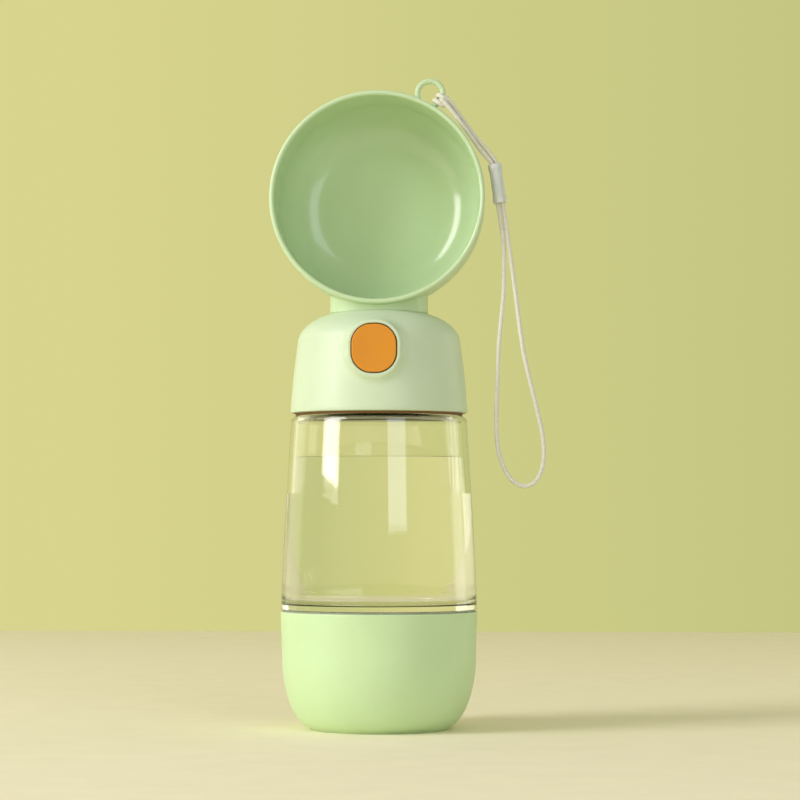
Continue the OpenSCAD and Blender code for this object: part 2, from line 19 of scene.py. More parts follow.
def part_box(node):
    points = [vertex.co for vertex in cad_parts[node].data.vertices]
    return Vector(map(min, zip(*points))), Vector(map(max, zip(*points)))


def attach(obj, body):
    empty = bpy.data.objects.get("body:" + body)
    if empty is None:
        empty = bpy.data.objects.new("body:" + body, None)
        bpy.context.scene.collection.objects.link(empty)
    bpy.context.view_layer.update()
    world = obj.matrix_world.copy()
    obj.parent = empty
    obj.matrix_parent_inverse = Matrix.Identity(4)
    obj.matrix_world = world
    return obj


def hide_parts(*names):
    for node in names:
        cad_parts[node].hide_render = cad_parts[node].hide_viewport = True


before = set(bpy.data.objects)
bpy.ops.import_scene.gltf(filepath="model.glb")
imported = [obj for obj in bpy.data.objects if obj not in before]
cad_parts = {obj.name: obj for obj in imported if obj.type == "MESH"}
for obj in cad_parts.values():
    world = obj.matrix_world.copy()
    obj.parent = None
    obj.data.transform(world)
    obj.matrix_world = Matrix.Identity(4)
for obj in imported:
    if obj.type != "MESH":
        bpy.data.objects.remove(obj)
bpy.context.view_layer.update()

MM = 0.001

# %% [markdown]
# ## The camera
#
# The photograph was taken from about a metre away, a little to the right of straight ahead and
# at a third of the bottle's height: the rings of the cup and the cap bow by a few pixels only,
# and by how much tells the height. A long lens from that distance gives the same calm
# perspective. The camera is pitched up by a little over two degrees and turned slightly so
# that the bottle stands left of the middle, as it does in the picture.

# %% Camera
VIEW_AZIMUTH, PITCH, PAN = 3.3, 2.382, 0.4448
CAMERA_DISTANCE, CAMERA_HEIGHT = 1.0, 0.080
LENS, SENSOR = 121.24, 36


def placed(name, data):
    """A new object in the scene."""
    made = bpy.data.objects.new(name, data)
    bpy.context.scene.collection.objects.link(made)
    return made


camera_data = bpy.data.cameras.new("camera")
camera_data.lens, camera_data.sensor_width = LENS, SENSOR
camera = placed("camera", camera_data)
azimuth = math.radians(VIEW_AZIMUTH)
camera.location = (
    CAMERA_DISTANCE * math.sin(azimuth), -CAMERA_DISTANCE * math.cos(azimuth), CAMERA_HEIGHT)
camera.rotation_euler = (math.radians(90 + PITCH), 0, math.radians(VIEW_AZIMUTH - PAN))
bpy.context.scene.camera = camera
print("camera", [round(c, 3) for c in camera.location])

# %% [markdown]
# ## How a mesh becomes a piece
#
# Most pieces here are computed point by point, because a moulded product is made of clean
# turned and swept surfaces. One small function turns points and faces into an object with
# smooth shading. Corners sharper than a set angle stay crisp. The faces are turned to look
# outward, because cutting one solid with another and bending light both depend on it. A second
# function lays faces over rows of points and closes the two ends.

# %% From points to an object
SHARP_ANGLE = math.radians(38)


def piece_from(name, points, faces, sharp=SHARP_ANGLE):
    mesh = bpy.data.meshes.new(name)
    mesh.from_pydata([tuple(p) for p in points], [], [tuple(int(i) for i in f) for f in faces])
    mesh.validate()
    skin = bmesh.new()
    skin.from_mesh(mesh)
    bmesh.ops.recalc_face_normals(skin, faces=skin.faces)
    skin.to_mesh(mesh)
    skin.free()
    mesh.shade_smooth()
    if sharp is not None:
        mesh.set_sharp_from_angle(angle=sharp)
    return placed(name, mesh)


def skin_faces(rows, columns, joined=False):
    """Quads between rows of points that each close on themselves. The first row is joined to
    the last, or else each of them is closed to a point of its own behind the others."""
    i, j = np.meshgrid(np.arange(rows - 1), np.arange(columns), indexing="ij")
    k = (j + 1) % columns
    quads = np.stack([i * columns + j, i * columns + k,
                      (i + 1) * columns + k, (i + 1) * columns + j], -1)
    faces = quads.reshape(-1, 4).tolist()
    last, end = (rows - 1) * columns, rows * columns
    pairs = [(a, (a + 1) % columns) for a in range(columns)]
    if joined:
        return faces + [(last + a, last + b, b, a) for a, b in pairs]
    faces += [(end, b, a) for a, b in pairs]
    return faces + [(end + 1, last + a, last + b) for a, b in pairs]


print("faces of a closed skin over 3 rings of 8 points:", len(skin_faces(3, 8)))

# %% [markdown]
# ## The wrist cord's route
#
# A wrist cord is a soft braid: it goes down from its knot, turns once at the bottom of the
# loop and comes back up through the bead. It can't stand or float, so its route is a smooth
# curve through points that hang under the knot, the same points that the solid model uses. The
# cubic curve below passes through every one of them, and its points are then spread evenly
# along it so that the braid doesn't stretch.

# %% Cord route
CORD_WIDTH = 1.7 * MM
CORD_SPACING = 0.2 * MM
CORD_POINTS = [
    (23.8, -13.1, 231.6), (25.8, -13, 229.6), (29.8, -12.1, 224.6), (34.8, -11, 217.8),
    (38.4, -10.8, 212.6), (42.4, -10.5, 207.8), (43.1, -10, 202), (44.2, -10, 194.2),
    (45.4, -10.1, 186.4), (46.4, -10, 177.6), (46.4, -10, 161), (45.5, -10, 151),
    (44.6, -10, 141), (44.2, -10, 130), (43.8, -10, 120), (43.7, -10, 110.4),
    (44.5, -10, 102.4), (46.7, -10, 95.6), (49.7, -10, 91.4), (53.5, -10, 89.5),
    (57.3, -10, 90.7), (60, -10, 94.8), (61, -10, 101), (60.6, -10, 108),
    (58.9, -10, 116), (54.4, -10, 135), (53, -10, 143), (51.8, -10, 151.6),
    (50.8, -10, 160), (48.4, -10, 177.6), (47.2, -9.9, 186.4), (46, -10, 194.2),
    (44.9, -10, 202), (43.9, -9.5, 208.2), (40.2, -9.1, 213.6), (35.8, -9.3, 218.6),
    (30.9, -10, 225.4), (27.4, -11.1, 230.4), (25, -11.8, 233)]


def length_along(line):
    """How far along a line each of its points lies."""
    return np.concatenate([[0], np.cumsum(np.linalg.norm(np.diff(line, axis=0), axis=1))])


def smooth_route(points, spacing, steps=24):
    """Even points along a smooth cubic curve through every point of a route."""
    p = np.array(points, float)
    p = np.vstack([p[0], p, p[-1]])
    t = np.linspace(0, 1, steps, endpoint=False)[:, None]
    spans = [
        0.5 * (2 * b + (c - a) * t + (2 * a - 5 * b + 4 * c - d) * t**2
               + (3 * b - a - 3 * c + d) * t**3)
        for a, b, c, d in zip(p[:-3], p[1:-2], p[2:-1], p[3:])]
    line = np.vstack(spans + [p[-1:]])
    along = length_along(line)
    even = np.linspace(0, along[-1], max(2, round(along[-1] / spacing)) + 1)
    return np.stack([np.interp(even, along, line[:, k]) for k in range(3)], 1), along[-1]


cord_line, cord_length = smooth_route(np.array(CORD_POINTS) * MM, CORD_SPACING)
print("cord length, mm:", round(cord_length / MM, 1), "rings:", len(cord_line))

# %% [markdown]
# ## A braided tube
#
# The cord is braided from twelve yarns: six wind one way round it and six the other, and where
# they cross one lies on top. Each family of yarns is a wave that travels round the tube as it
# goes along. Taking the higher of the two waves at each point gives the small diamond-shaped
# bumps of a braid in the mesh itself, so they show on the outline as well as in the shading.

# %% Braided tube
YARNS = 6
BRAID_PITCH = 7.2 * MM
BRAID_DEPTH = 0.14
YARN_DIP = 0.45
CORD_SIDES = 36


def braided_tube(name, line, width):
    ahead = np.gradient(line, axis=0)
    ahead /= np.linalg.norm(ahead, axis=1)[:, None]
    side = np.cross((0, 1, 0), ahead)
    side /= np.linalg.norm(side, axis=1)[:, None]
    up = np.cross(ahead, side)
    turn = np.linspace(0, 2 * np.pi, CORD_SIDES, endpoint=False)
    twist = 2 * np.pi * length_along(line)[:, None] / BRAID_PITCH
    right = YARNS * (turn + twist) / 2
    left = YARNS * (turn - twist) / 2
    over = 0.5 + 0.5 * np.sin(right) * np.sin(left)
    yarn = np.maximum(np.abs(np.cos(right)) * (1 - YARN_DIP * (1 - over)),
                      np.abs(np.cos(left)) * (1 - YARN_DIP * over))
    radius = width / 2 * (1 - BRAID_DEPTH * (1 - yarn))
    rings = line[:, None] + radius[..., None] * (
        np.cos(turn)[None, :, None] * side[:, None] + np.sin(turn)[None, :, None] * up[:, None])
    points = np.vstack([rings.reshape(-1, 3), line[0], line[-1]])
    return piece_from(name, points, skin_faces(len(line), CORD_SIDES), sharp=None)


cord = braided_tube("wrist_cord", cord_line, CORD_WIDTH)
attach(cord, "bowl")
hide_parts("lanyard_cord")
print("cord faces:", len(cord.data.polygons))

# %% [markdown]
# ## Outlines
#
# The cup, the bottle and the seals are round, so each is an outline turned about the Z axis.
# Moulded plastic has no sharp corners. The outline is therefore written as corners with a
# radius each, and the radius is swept in as a true arc. A long side isn't quite straight
# either: it bulges out by a fraction of a millimetre.

# %% Outlines
def rounded(corners, steps=6):
    """Points (r, z) through corners (r, z, radius), each corner rounded by an arc."""
    points = []
    for i, (r, z, radius) in enumerate(corners):
        here = np.array((r, z), float)
        if radius == 0 or i in (0, len(corners) - 1):
            points.append(here)
            continue
        back = np.array(corners[i - 1][:2]) - here
        ahead = np.array(corners[i + 1][:2]) - here
        back /= np.linalg.norm(back)
        ahead /= np.linalg.norm(ahead)
        half = math.acos(max(-1, min(1, float(back @ ahead)))) / 2
        centre = here + (back + ahead) / np.linalg.norm(back + ahead) * radius / math.sin(half)
        spoke = here + back * radius / math.tan(half) - centre
        last = here + ahead * radius / math.tan(half) - centre
        angle = math.atan2(spoke[0] * last[1] - spoke[1] * last[0], float(spoke @ last))
        for k in range(steps + 1):
            a = angle * k / steps
            points.append(centre + (spoke[0] * math.cos(a) - spoke[1] * math.sin(a),
                                    spoke[0] * math.sin(a) + spoke[1] * math.cos(a)))
    return points


def ellipse(cr, cz, a, b, start, end, steps=32):
    """Points round part of an ellipse, between two angles in degrees."""
    t = np.radians(np.linspace(start, end, steps + 1))
    return list(np.stack([cr + a * np.cos(t), cz + b * np.sin(t)], 1))


def bulged(low, high, bulge, steps=24):
    """A side from (r, z) low to (r, z) high that bulges out a little in its middle."""
    s = np.linspace(0, 1, steps + 1)
    low, high = np.array(low), np.array(high)
    side = low + (high - low) * s[:, None]
    side[:, 0] += 4 * bulge * s * (1 - s)
    return list(side)


def divided(points, spacing, low_z, high_z):
    """The outline with extra points between two heights, for a relief to work on."""
    slack = 1e-9
    out = [points[0]]
    for a, b in zip(points[:-1], points[1:]):
        inside = low_z <= min(a[1], b[1]) + slack and max(a[1], b[1]) <= high_z + slack
        n = max(1, math.ceil(np.linalg.norm(np.subtract(b, a)) / spacing)) if inside else 1
        out += [np.array(a) + (np.array(b) - a) * k / n for k in range(1, n + 1)]
    return out


def held(outline, edge=0.2 * MM):
    """The outline with a point near each end of a long straight run, so its shading stays flat."""
    out = [np.array(outline[0])]
    for a, b in zip(outline[:-1], outline[1:]):
        a, b = np.array(a), np.array(b)
        run = np.linalg.norm(b - a)
        out += [a + (b - a) * edge / run, b - (b - a) * edge / run] if run > 5 * edge else []
        out.append(b)
    return out


print("points round one soft corner:", len(rounded([(0, 0, 0), (1, 0, 0.2), (1, 1, 0)])) - 2)

# %% [markdown]
# ## Turned pieces
#
# Turning an outline could be left to a modifier, but then nothing could grow out of the wall.
# Here every row is computed, so an optional relief can move points in or out as a function of
# angle and height. That is how the screw threads come out of the wall without a seam.

# %% Turned pieces
def turned(name, outline, sides=256, relief=None, closed=False, sharp=SHARP_ANGLE):
    """A solid from an outline (r, z): from axis to axis, or a closed loop for a ring."""
    outline = held(outline)
    turn = np.linspace(0, 2 * np.pi, sides, endpoint=False)
    rows, poles = [], []
    for r, z in outline:
        if r < 1e-7 and not closed:
            poles.append((0, 0, z))
            continue
        reach = r + (relief(turn, r, z) if relief else 0 * turn)
        rows.append(np.stack([reach * np.cos(turn), reach * np.sin(turn), 0 * turn + z], 1))
    ends = [] if closed else [poles[:1], poles[-1:]]
    return piece_from(name, np.vstack(rows + ends), skin_faces(len(rows), sides, closed), sharp)


# %% [markdown]
# ## Screw threads
#
# Both screw joints have two starts and a coarse lead, so that one turn and a quarter frees
# them. A thread ridge is a band that climbs as it goes round and fades out at its two ends.
# The relief below gives the height of such a ridge at any angle and height: full on the band's
# crest, falling along its flanks, nothing elsewhere.

# %% Thread relief
THREAD_LEAD = 6 * MM
THREAD_STARTS = 2
THREAD_RUN, THREAD_FADE = math.radians(300), math.radians(14)
THREAD_CREST = THREAD_FLANK = 0.35 * MM
THREAD_DEPTH = 1.1 * MM
THREAD_SPACING = 0.2 * MM


def thread(root_r, depth, first_z):
    """Relief of thread ridges on a wall of radius root_r; a negative depth goes inward."""
    def relief(turn, r, z):
        if abs(r - root_r) > 1e-6:
            return 0 * turn
        height = 0 * turn
        for start in range(THREAD_STARTS):
            base = (turn - 2 * np.pi * start / THREAD_STARTS) % (2 * np.pi)
            for lap in (0, 1):
                gone = base + 2 * np.pi * lap
                off = np.abs(z - first_z - THREAD_LEAD * gone / (2 * np.pi))
                flank = np.clip((THREAD_CREST + THREAD_FLANK - off) / THREAD_FLANK, 0, 1)
                fade = np.clip(np.minimum(gone, THREAD_RUN - gone) / THREAD_FADE, 0, 1)
                height = np.maximum(height, flank * flank * (3 - 2 * flank) * np.sqrt(fade))
        return depth * height
    return relief


print("a turn of the cap lifts it by, mm:", round(THREAD_LEAD / MM, 1))

# %% [markdown]
# ## The treat cup
#
# The green cup under the bottle screws off and carries dry food. It is a thick-walled moulding
# with a big soft corner above a small flat foot, and a step inside its rim for the seal. The
# underside has the shallow ring and the gate mark that a mould leaves, and the bore has the
# female thread. Two small edge radii serve this piece and the others.

# %% Treat cup
EDGE, FINE_EDGE = 0.2 * MM, 0.1 * MM
HAIR = 0.01 * MM
BODY_R, _, CUP_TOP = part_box("base_cup")[1]
CUP_DRAFT, CUP_WALL, CUP_FLOOR = 0.5 * MM, 2 * MM, 2.4 * MM
CORNER_W, CORNER_H = 12.4 * MM, 26 * MM
FOOT_R, FOOT_H, FOOT_STEP = 25.4 * MM, 1 * MM, 0.3 * MM
GATE_R, GATE_DEPTH = 1.6 * MM, 0.15 * MM
FOOT_RING_R, FOOT_RING_DEPTH, FOOT_RING_FLANK = 20 * MM, 0.35 * MM, 0.5 * MM
CUP_LIP_ROUND = 0.45 * MM
SEAL_RECESS, SEAL_STEP, SEAL_EDGE = 1.2 * MM, 1.1 * MM, 0.15 * MM
CUP_THREAD_Z = CUP_TOP - 7.15 * MM

cup_r = BODY_R - CUP_DRAFT
bore_r = cup_r - CUP_WALL
corner_z = FOOT_H + CORNER_H
outline = rounded([
    (0, GATE_DEPTH, 0), (GATE_R, GATE_DEPTH, FINE_EDGE), (GATE_R, FOOT_RING_DEPTH, FINE_EDGE),
    (FOOT_RING_R, FOOT_RING_DEPTH, EDGE), (FOOT_RING_R + FOOT_RING_FLANK, 0, EDGE),
    (FOOT_R, 0, EDGE), (FOOT_R + FOOT_STEP, FOOT_STEP, 0)], 4)
outline += [p for p in ellipse(cup_r - CORNER_W, corner_z, CORNER_W, corner_z, -90, 0, 40)
            if p[0] > FOOT_R + FOOT_STEP + FINE_EDGE]
outline += rounded([
    (cup_r + HAIR, corner_z + 1 * MM, 0), (BODY_R, CUP_TOP, CUP_LIP_ROUND),
    (bore_r + SEAL_STEP, CUP_TOP, EDGE), (bore_r + SEAL_STEP, CUP_TOP - SEAL_RECESS, SEAL_EDGE),
    (bore_r, CUP_TOP - SEAL_RECESS, EDGE), (bore_r, corner_z + FINE_EDGE, 0)], 5)
outline += ellipse(cup_r - CORNER_W, corner_z, CORNER_W - CUP_WALL, CORNER_H - CUP_FLOOR,
                   0, -90, 40)
outline += [(0, FOOT_H + CUP_FLOOR)]
outline = divided(outline, THREAD_SPACING, CUP_THREAD_Z - 1.5 * MM, CUP_TOP - SEAL_RECESS)
cup = turned("treat_cup", outline, relief=thread(bore_r, -THREAD_DEPTH, CUP_THREAD_Z))
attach(cup, "base")
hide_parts("base_cup")
print("treat cup faces:", len(cup.data.polygons))

# %% [markdown]
# ## The clear bottle
#
# The bottle is one clear moulding: a wall that leans in towards the shoulder, a thick floor, a
# threaded neck for the cap and a threaded skirt that screws down into the cup. It is built as
# one closed wall with a real inside, because clear plastic only looks right when light passes
# through both of its faces. First come the two sides of that wall.

# %% Bottle wall
bottle_low, bottle_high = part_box("bottle")
seal_low, seal_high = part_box("cap_seal")
BOTTLE_R, BOTTLE_TAPER, BOTTLE_BULGE = 36.3 * MM, 3.7 * MM, 0.3 * MM
BOTTLE_WALL, BOTTLE_FLOOR = 2.2 * MM, 2 * MM
SKIRT_R, SKIRT_H = 32.5 * MM, 12.9 * MM
SHOULDER_ROUND, SHOULDER_W = 2.4 * MM, 6.2 * MM
OUTER_FOOT, INNER_FOOT = 0.5 * MM, 2.5 * MM

bottle_z = bottle_low.z + SKIRT_H
floor_z = bottle_z + BOTTLE_FLOOR
shoulder_z = seal_low.z
round_z = shoulder_z - SHOULDER_ROUND
shoulder_r = BOTTLE_R - BOTTLE_TAPER


def bottle_side(inset, low_z, high_z):
    """The wall's outer side, or its inner side where inset is the wall's thickness."""
    lean = BOTTLE_TAPER / (round_z - bottle_z)
    return bulged((BOTTLE_R - inset - lean * (low_z - bottle_z), low_z),
                  (BOTTLE_R - inset - lean * (high_z - bottle_z), high_z), BOTTLE_BULGE)


outer_side = bottle_side(0, bottle_z + OUTER_FOOT, round_z)
inner_side = bottle_side(BOTTLE_WALL, floor_z + INNER_FOOT, round_z)
inner_low, inner_top = inner_side[0], inner_side[-1]
print("bottle wall from, mm:", round(bottle_z / MM, 1), "to", round(shoulder_z / MM, 1))

# %% [markdown]
# The outline goes down into the skirt, up the outer side, over the shoulder and the neck's
# mouth, and back down inside to the floor. Both threads stand on the outside, and the skirt's
# ridges lie between the cup's.

# %% Bottle
NECK_WALL, NECK_ROUND = 2.2 * MM, 0.7 * MM
SKIRT_WALL, SKIRT_ROUND = 2.2 * MM, 0.5 * MM
NECK_THREAD_Z = seal_high.z + 0.95 * MM
SKIRT_THREAD_Z = CUP_THREAD_Z - 1.5 * MM

neck_z, neck_r = bottle_high.z, shoulder_r - SHOULDER_W
outline = rounded([
    (0, bottle_z, 0), (SKIRT_R - SKIRT_WALL, bottle_z, 0.6 * MM),
    (SKIRT_R - SKIRT_WALL, bottle_low.z, SKIRT_ROUND), (SKIRT_R, bottle_low.z, SKIRT_ROUND),
    (SKIRT_R, bottle_z, 0.3 * MM), (BOTTLE_R, bottle_z, 0.4 * MM), (*outer_side[0], 0)], 5)
outline += outer_side[1:]
outline += ellipse(shoulder_r - SHOULDER_ROUND, round_z, SHOULDER_ROUND, SHOULDER_ROUND,
                   0, 90, 12)[1:]
outline += rounded([
    (shoulder_r - SHOULDER_ROUND - FINE_EDGE, shoulder_z, 0), (neck_r, shoulder_z, 0.3 * MM),
    (neck_r, neck_z, NECK_ROUND), (neck_r - NECK_WALL, neck_z, NECK_ROUND),
    (neck_r - NECK_WALL, shoulder_z - BOTTLE_WALL / 2, 0.8 * MM),
    (inner_top[0], shoulder_z - BOTTLE_WALL * 0.55, 1.6 * MM), (*inner_top, 0)], 8)
outline += inner_side[::-1][1:]
outline += rounded([
    (*inner_low, 0), (inner_low[0] + FINE_EDGE, floor_z, 2 * MM), (0, floor_z, 0)], 10)[1:]
outline = divided(outline, THREAD_SPACING, NECK_THREAD_Z - 1 * MM, neck_z)
outline = divided(outline, THREAD_SPACING, bottle_low.z, bottle_z - FINE_EDGE)
neck_thread = thread(neck_r, THREAD_DEPTH, NECK_THREAD_Z)
skirt_thread = thread(SKIRT_R, THREAD_DEPTH, SKIRT_THREAD_Z)
bottle = turned("clear_bottle", outline,
                relief=lambda turn, r, z: neck_thread(turn, r, z) + skirt_thread(turn, r, z))
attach(bottle, "bottle")
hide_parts("bottle")
print("bottle faces:", len(bottle.data.polygons))

# %% [markdown]
# ## The water
#
# The bottle in the photograph is about three quarters full, and the water line is one of the
# first things that the eye finds. Water is a second clear body that fills the inside and
# reaches a hair into the wall, so that no film of air shows between the two. Its surface
# climbs the wall in a very small curved edge, the meniscus. It belongs to the bottle and moves
# with it.

# %% Water
WATER_Z = 100 * MM
MENISCUS_W, MENISCUS_H = 0.24 * MM, 0.15 * MM
OVERLAP = 0.06 * MM

side = bottle_side(BOTTLE_WALL, floor_z + INNER_FOOT, WATER_Z + MENISCUS_H)
water_r = side[-1][0] + OVERLAP
outline = rounded([
    (0, floor_z - OVERLAP, 0), (inner_low[0] + OVERLAP, floor_z - OVERLAP, 2 * MM),
    (side[0][0] + OVERLAP, side[0][1], 0)], 10)
outline += [p + (OVERLAP, 0) for p in side[1:]]
outline += [(water_r - MENISCUS_W * (1 - math.sin(a)) - 2 * HAIR,
             WATER_Z + MENISCUS_H * (1 - math.cos(a))) for a in np.radians(np.linspace(80, 0, 9))]
outline += [(water_r * s, WATER_Z) for s in (0.8, 0.5, 0.2, 0)]
water = turned("water", outline)
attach(water, "bottle")
print("water line at, mm:", round(WATER_Z / MM, 1))

# %% [markdown]
# ## The cap's ring
#
# A thin silicone ring seals the cap and shows in the shadow gap under it. It is orange, given
# a deep brown colour as painted shade for that gap. It is soft, so its edges are round and its
# outer side bulges slightly where the cap squeezes it.

# %% Cap ring
CAP_RING_R, CAP_RING_BORE = 31.1 * MM, 27.8 * MM
RING_ROUND, RING_SWELL = 0.3 * MM, 0.25 * MM

outline = rounded([
    (CAP_RING_BORE, seal_high.z, 0), (CAP_RING_BORE, seal_low.z, RING_ROUND),
    (CAP_RING_R - RING_SWELL, seal_low.z, RING_ROUND),
    (CAP_RING_R, (seal_low.z + seal_high.z) / 2, 0.5 * MM),
    (CAP_RING_R - RING_SWELL, seal_high.z, RING_ROUND), (CAP_RING_BORE + HAIR, seal_high.z, 0)], 5)
cap_ring = turned("cap_ring", outline, closed=True)
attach(cap_ring, "cap_gasket")
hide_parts("cap_seal")
print("cap ring faces:", len(cap_ring.data.polygons))

# %% [markdown]
# ## Joining without a crease
#
# On a moulded cap the frame round the button flows out of the dome. A plain union leaves a
# hard crease there. Instead the distance from a point to each of the two solids is blended
# where both are near, and each point of the surface is found by walking out along a ray until
# that blended distance is zero.

# %% Blended distances
def softer(a, b, reach):
    """The smaller of two distances, blended where they lie within reach of each other."""
    h = np.clip(reach - np.abs(a - b), 0, None) / reach
    return np.minimum(a, b) - h * h * reach / 4


def rounded_both(a, b, radius):
    """Distance to the overlap of two half spaces whose shared edge is rounded."""
    a, b = a + radius, b + radius
    outside = np.hypot(np.clip(a, 0, None), np.clip(b, 0, None))
    return outside + np.minimum(np.maximum(a, b), 0) - radius


def rounded_plate(u, v, width, height, corner):
    """Distance in a plane to a rectangle with rounded corners."""
    return rounded_both(np.abs(u) - width / 2, np.abs(v) - height / 2, corner)


def walk_out(start, direction, distance, longest, steps=34):
    """Points on the surface along rays that start inside it, by halving."""
    near, far = np.ones(start.shape[:-1]), np.full(start.shape[:-1], longest)
    for _ in range(steps):
        middle = (near + far) / 2
        inside = distance(start + direction * middle[..., None]) < 0
        near, far = np.where(inside, middle, near), np.where(inside, far, middle)
    return start + direction * ((near + far) / 2)[..., None]


print("where two faces meet, a reach of 1 mm swells them by:", -softer(0, 0, 1 * MM) / MM)

# %% [markdown]
# ## Lofting and cutting
#
# Shapes that aren't round are lofted: rings of points that match each other get a skin, and
# the two ends are closed. Holes, and parts that stand on a piece with a plain corner, come from
# cutting one closed solid with another or joining the two, as in a drawing program for solids.

# %% Lofting and cutting
def lofted(name, rings):
    """A closed skin over rings of points that match each other."""
    points = np.vstack(list(rings) + [rings[0].mean(0)[None], rings[-1].mean(0)[None]])
    return piece_from(name, points, skin_faces(len(rings), len(rings[0])))


def cut(piece, tool, operation="DIFFERENCE"):
    """Cuts a closed tool out of a piece, or joins it on, and removes the tool."""
    change = piece.modifiers.new("cut", "BOOLEAN")
    change.operation, change.object, change.solver = operation, tool, "MANIFOLD"
    bpy.context.view_layer.update()
    made = bpy.data.meshes.new_from_object(
        piece.evaluated_get(bpy.context.evaluated_depsgraph_get()))
    piece.modifiers.clear()
    piece.data = made
    made.shade_smooth()
    made.set_sharp_from_angle(angle=SHARP_ANGLE)
    bpy.data.objects.remove(tool)
    return piece


# %% [markdown]
# ## The domed cap
#
# The cap leans in a little, turns over a generous shoulder and ends in a flat top with the
# round hole for the bowl's spigot. Its lower edge hangs half a millimetre over the ring's gap.
# The raised frame of the button is a short bar with rounded corners that stands out in front,
# and both shapes are written as distances.

# %% Cap's shape
button_low, button_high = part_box("button")
cap_low, cap_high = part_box("cap_shell")
BUTTON_Z = (button_low.z + button_high.z) / 2
BUTTON_W, BUTTON_H = 16.1 * MM, button_high.z - button_low.z - 0.6 * MM
BUTTON_CORNER, BUTTON_GAP = 7.2 * MM, 0.35 * MM
FRAME_W, FRAME_Y, FRAME_BACK = 1.4 * MM, -cap_low.y, 5 * MM
FRAME_BLEND, FRAME_EDGE = 3.4 * MM, 0.7 * MM
CAP_Z, CAP_TOP, CAP_SIDE_Z = cap_low.z - 0.5 * MM, cap_high.z, BUTTON_Z + 3.6 * MM
CAP_R, CAP_TAPER, CAP_BULGE = cap_high.x, 2.7 * MM, 0.25 * MM
CAP_CORNER_R, CAP_CORNER_H = 6 * MM, CAP_TOP + 0.8 * MM - CAP_SIDE_Z

cap_side_r = CAP_R - CAP_TAPER
cap_corner_w = cap_side_r - CAP_CORNER_R


def cap_side(z):
    """The radius of the cap's leaning side at a height."""
    s = np.clip((z - CAP_Z) / (CAP_SIDE_Z - CAP_Z), 0, 1)
    return CAP_R - CAP_TAPER * s + 4 * CAP_BULGE * s * (1 - s)


def dome_distance(p):
    """Distance to the turned dome, fair enough near its surface."""
    r, z = np.hypot(p[..., 0], p[..., 1]), p[..., 2]
    du, dv = np.clip(r - CAP_CORNER_R, 0, None), np.clip(z - CAP_SIDE_Z, 0, None)
    share = np.maximum(np.hypot(du / cap_corner_w, dv / CAP_CORNER_H), 1e-6)
    corner = np.hypot(du, dv) * (1 - 1 / share)
    return np.where(z < CAP_SIDE_Z, r - cap_side(z), np.maximum(corner, z - CAP_TOP))


def cap_distance(p):
    grow = BUTTON_GAP + FRAME_W
    plate = rounded_plate(p[..., 0], p[..., 2] - BUTTON_Z, BUTTON_W + 2 * grow,
                          BUTTON_H + 2 * grow, BUTTON_CORNER + grow)
    boss = np.maximum(rounded_both(plate, -p[..., 1] - FRAME_Y, FRAME_EDGE), p[..., 1] + FRAME_BACK)
    return softer(dome_distance(p), boss, FRAME_BLEND)


print("cap, mm:", round(CAP_Z / MM, 1), "to", round(CAP_TOP / MM, 1))

# %% [markdown]
# The outer face is walked out from the axis, on a grid that is fine in front, where the frame
# swells from the dome. Each ray is searched from just inside the dome to well outside it. The
# inner face is the plain turned one, and the two are stitched at the bottom edge.

# %% Cap cover
CAP_WALL, CAP_EDGE = 1.8 * MM, 0.9 * MM
CENTRE_R = 3 * MM
ARC_MIDDLE = 0.29
FRONT_ARC, FRONT_REACH = 34, 13 * MM
RAY_SHARE, RAY_REACH = 0.98, 1.7


def graded(low, high, dense_low, dense_high, fine, coarse):
    """Values from low to high, close together between two of them."""
    return np.unique(np.round(np.concatenate([
        np.linspace(low, dense_low, max(2, math.ceil((dense_low - low) / coarse) + 1)),
        np.linspace(dense_low, dense_high, math.ceil((dense_high - dense_low) / fine) + 1),
        np.linspace(dense_high, high, max(2, math.ceil((high - dense_high) / coarse) + 1))]), 9))


def shoulder(inset, steps):
    """The shoulder's ellipse, drawn in by inset, up to the flat top."""
    top = math.degrees(math.asin((CAP_TOP - inset - CAP_SIDE_Z) / (CAP_CORNER_H - inset)))
    return ellipse(CAP_CORNER_R, CAP_SIDE_Z, cap_corner_w - inset, CAP_CORNER_H - inset,
                   0, top, steps)


turn = np.radians(graded(-180, 180, -FRONT_ARC, FRONT_ARC, 0.35, 1.5)[:-1] - 90)
side_z = graded(CAP_Z + CAP_EDGE, CAP_SIDE_Z, BUTTON_Z - FRONT_REACH, CAP_SIDE_Z,
                0.25 * MM, 0.8 * MM)
corner = shoulder(0, 70)
flat_top = [(r, CAP_TOP) for r in np.linspace(corner[-1][0], CENTRE_R, 6)[1:]]
profile = np.vstack([np.stack([cap_side(side_z), side_z], 1), corner[1:], flat_top])
target = np.stack([profile[:, :1] * np.cos(turn), profile[:, :1] * np.sin(turn),
                   profile[:, 1:] + 0 * turn], -1)
start = np.zeros_like(target)
start[..., 2] = np.minimum(target[..., 2], BUTTON_Z - 3 * MM)
outer = walk_out(start, (target - start) * RAY_SHARE, cap_distance, RAY_REACH)


def ring_of(r, z):
    return np.stack([r * np.cos(turn), r * np.sin(turn), z + 0 * turn], 1)


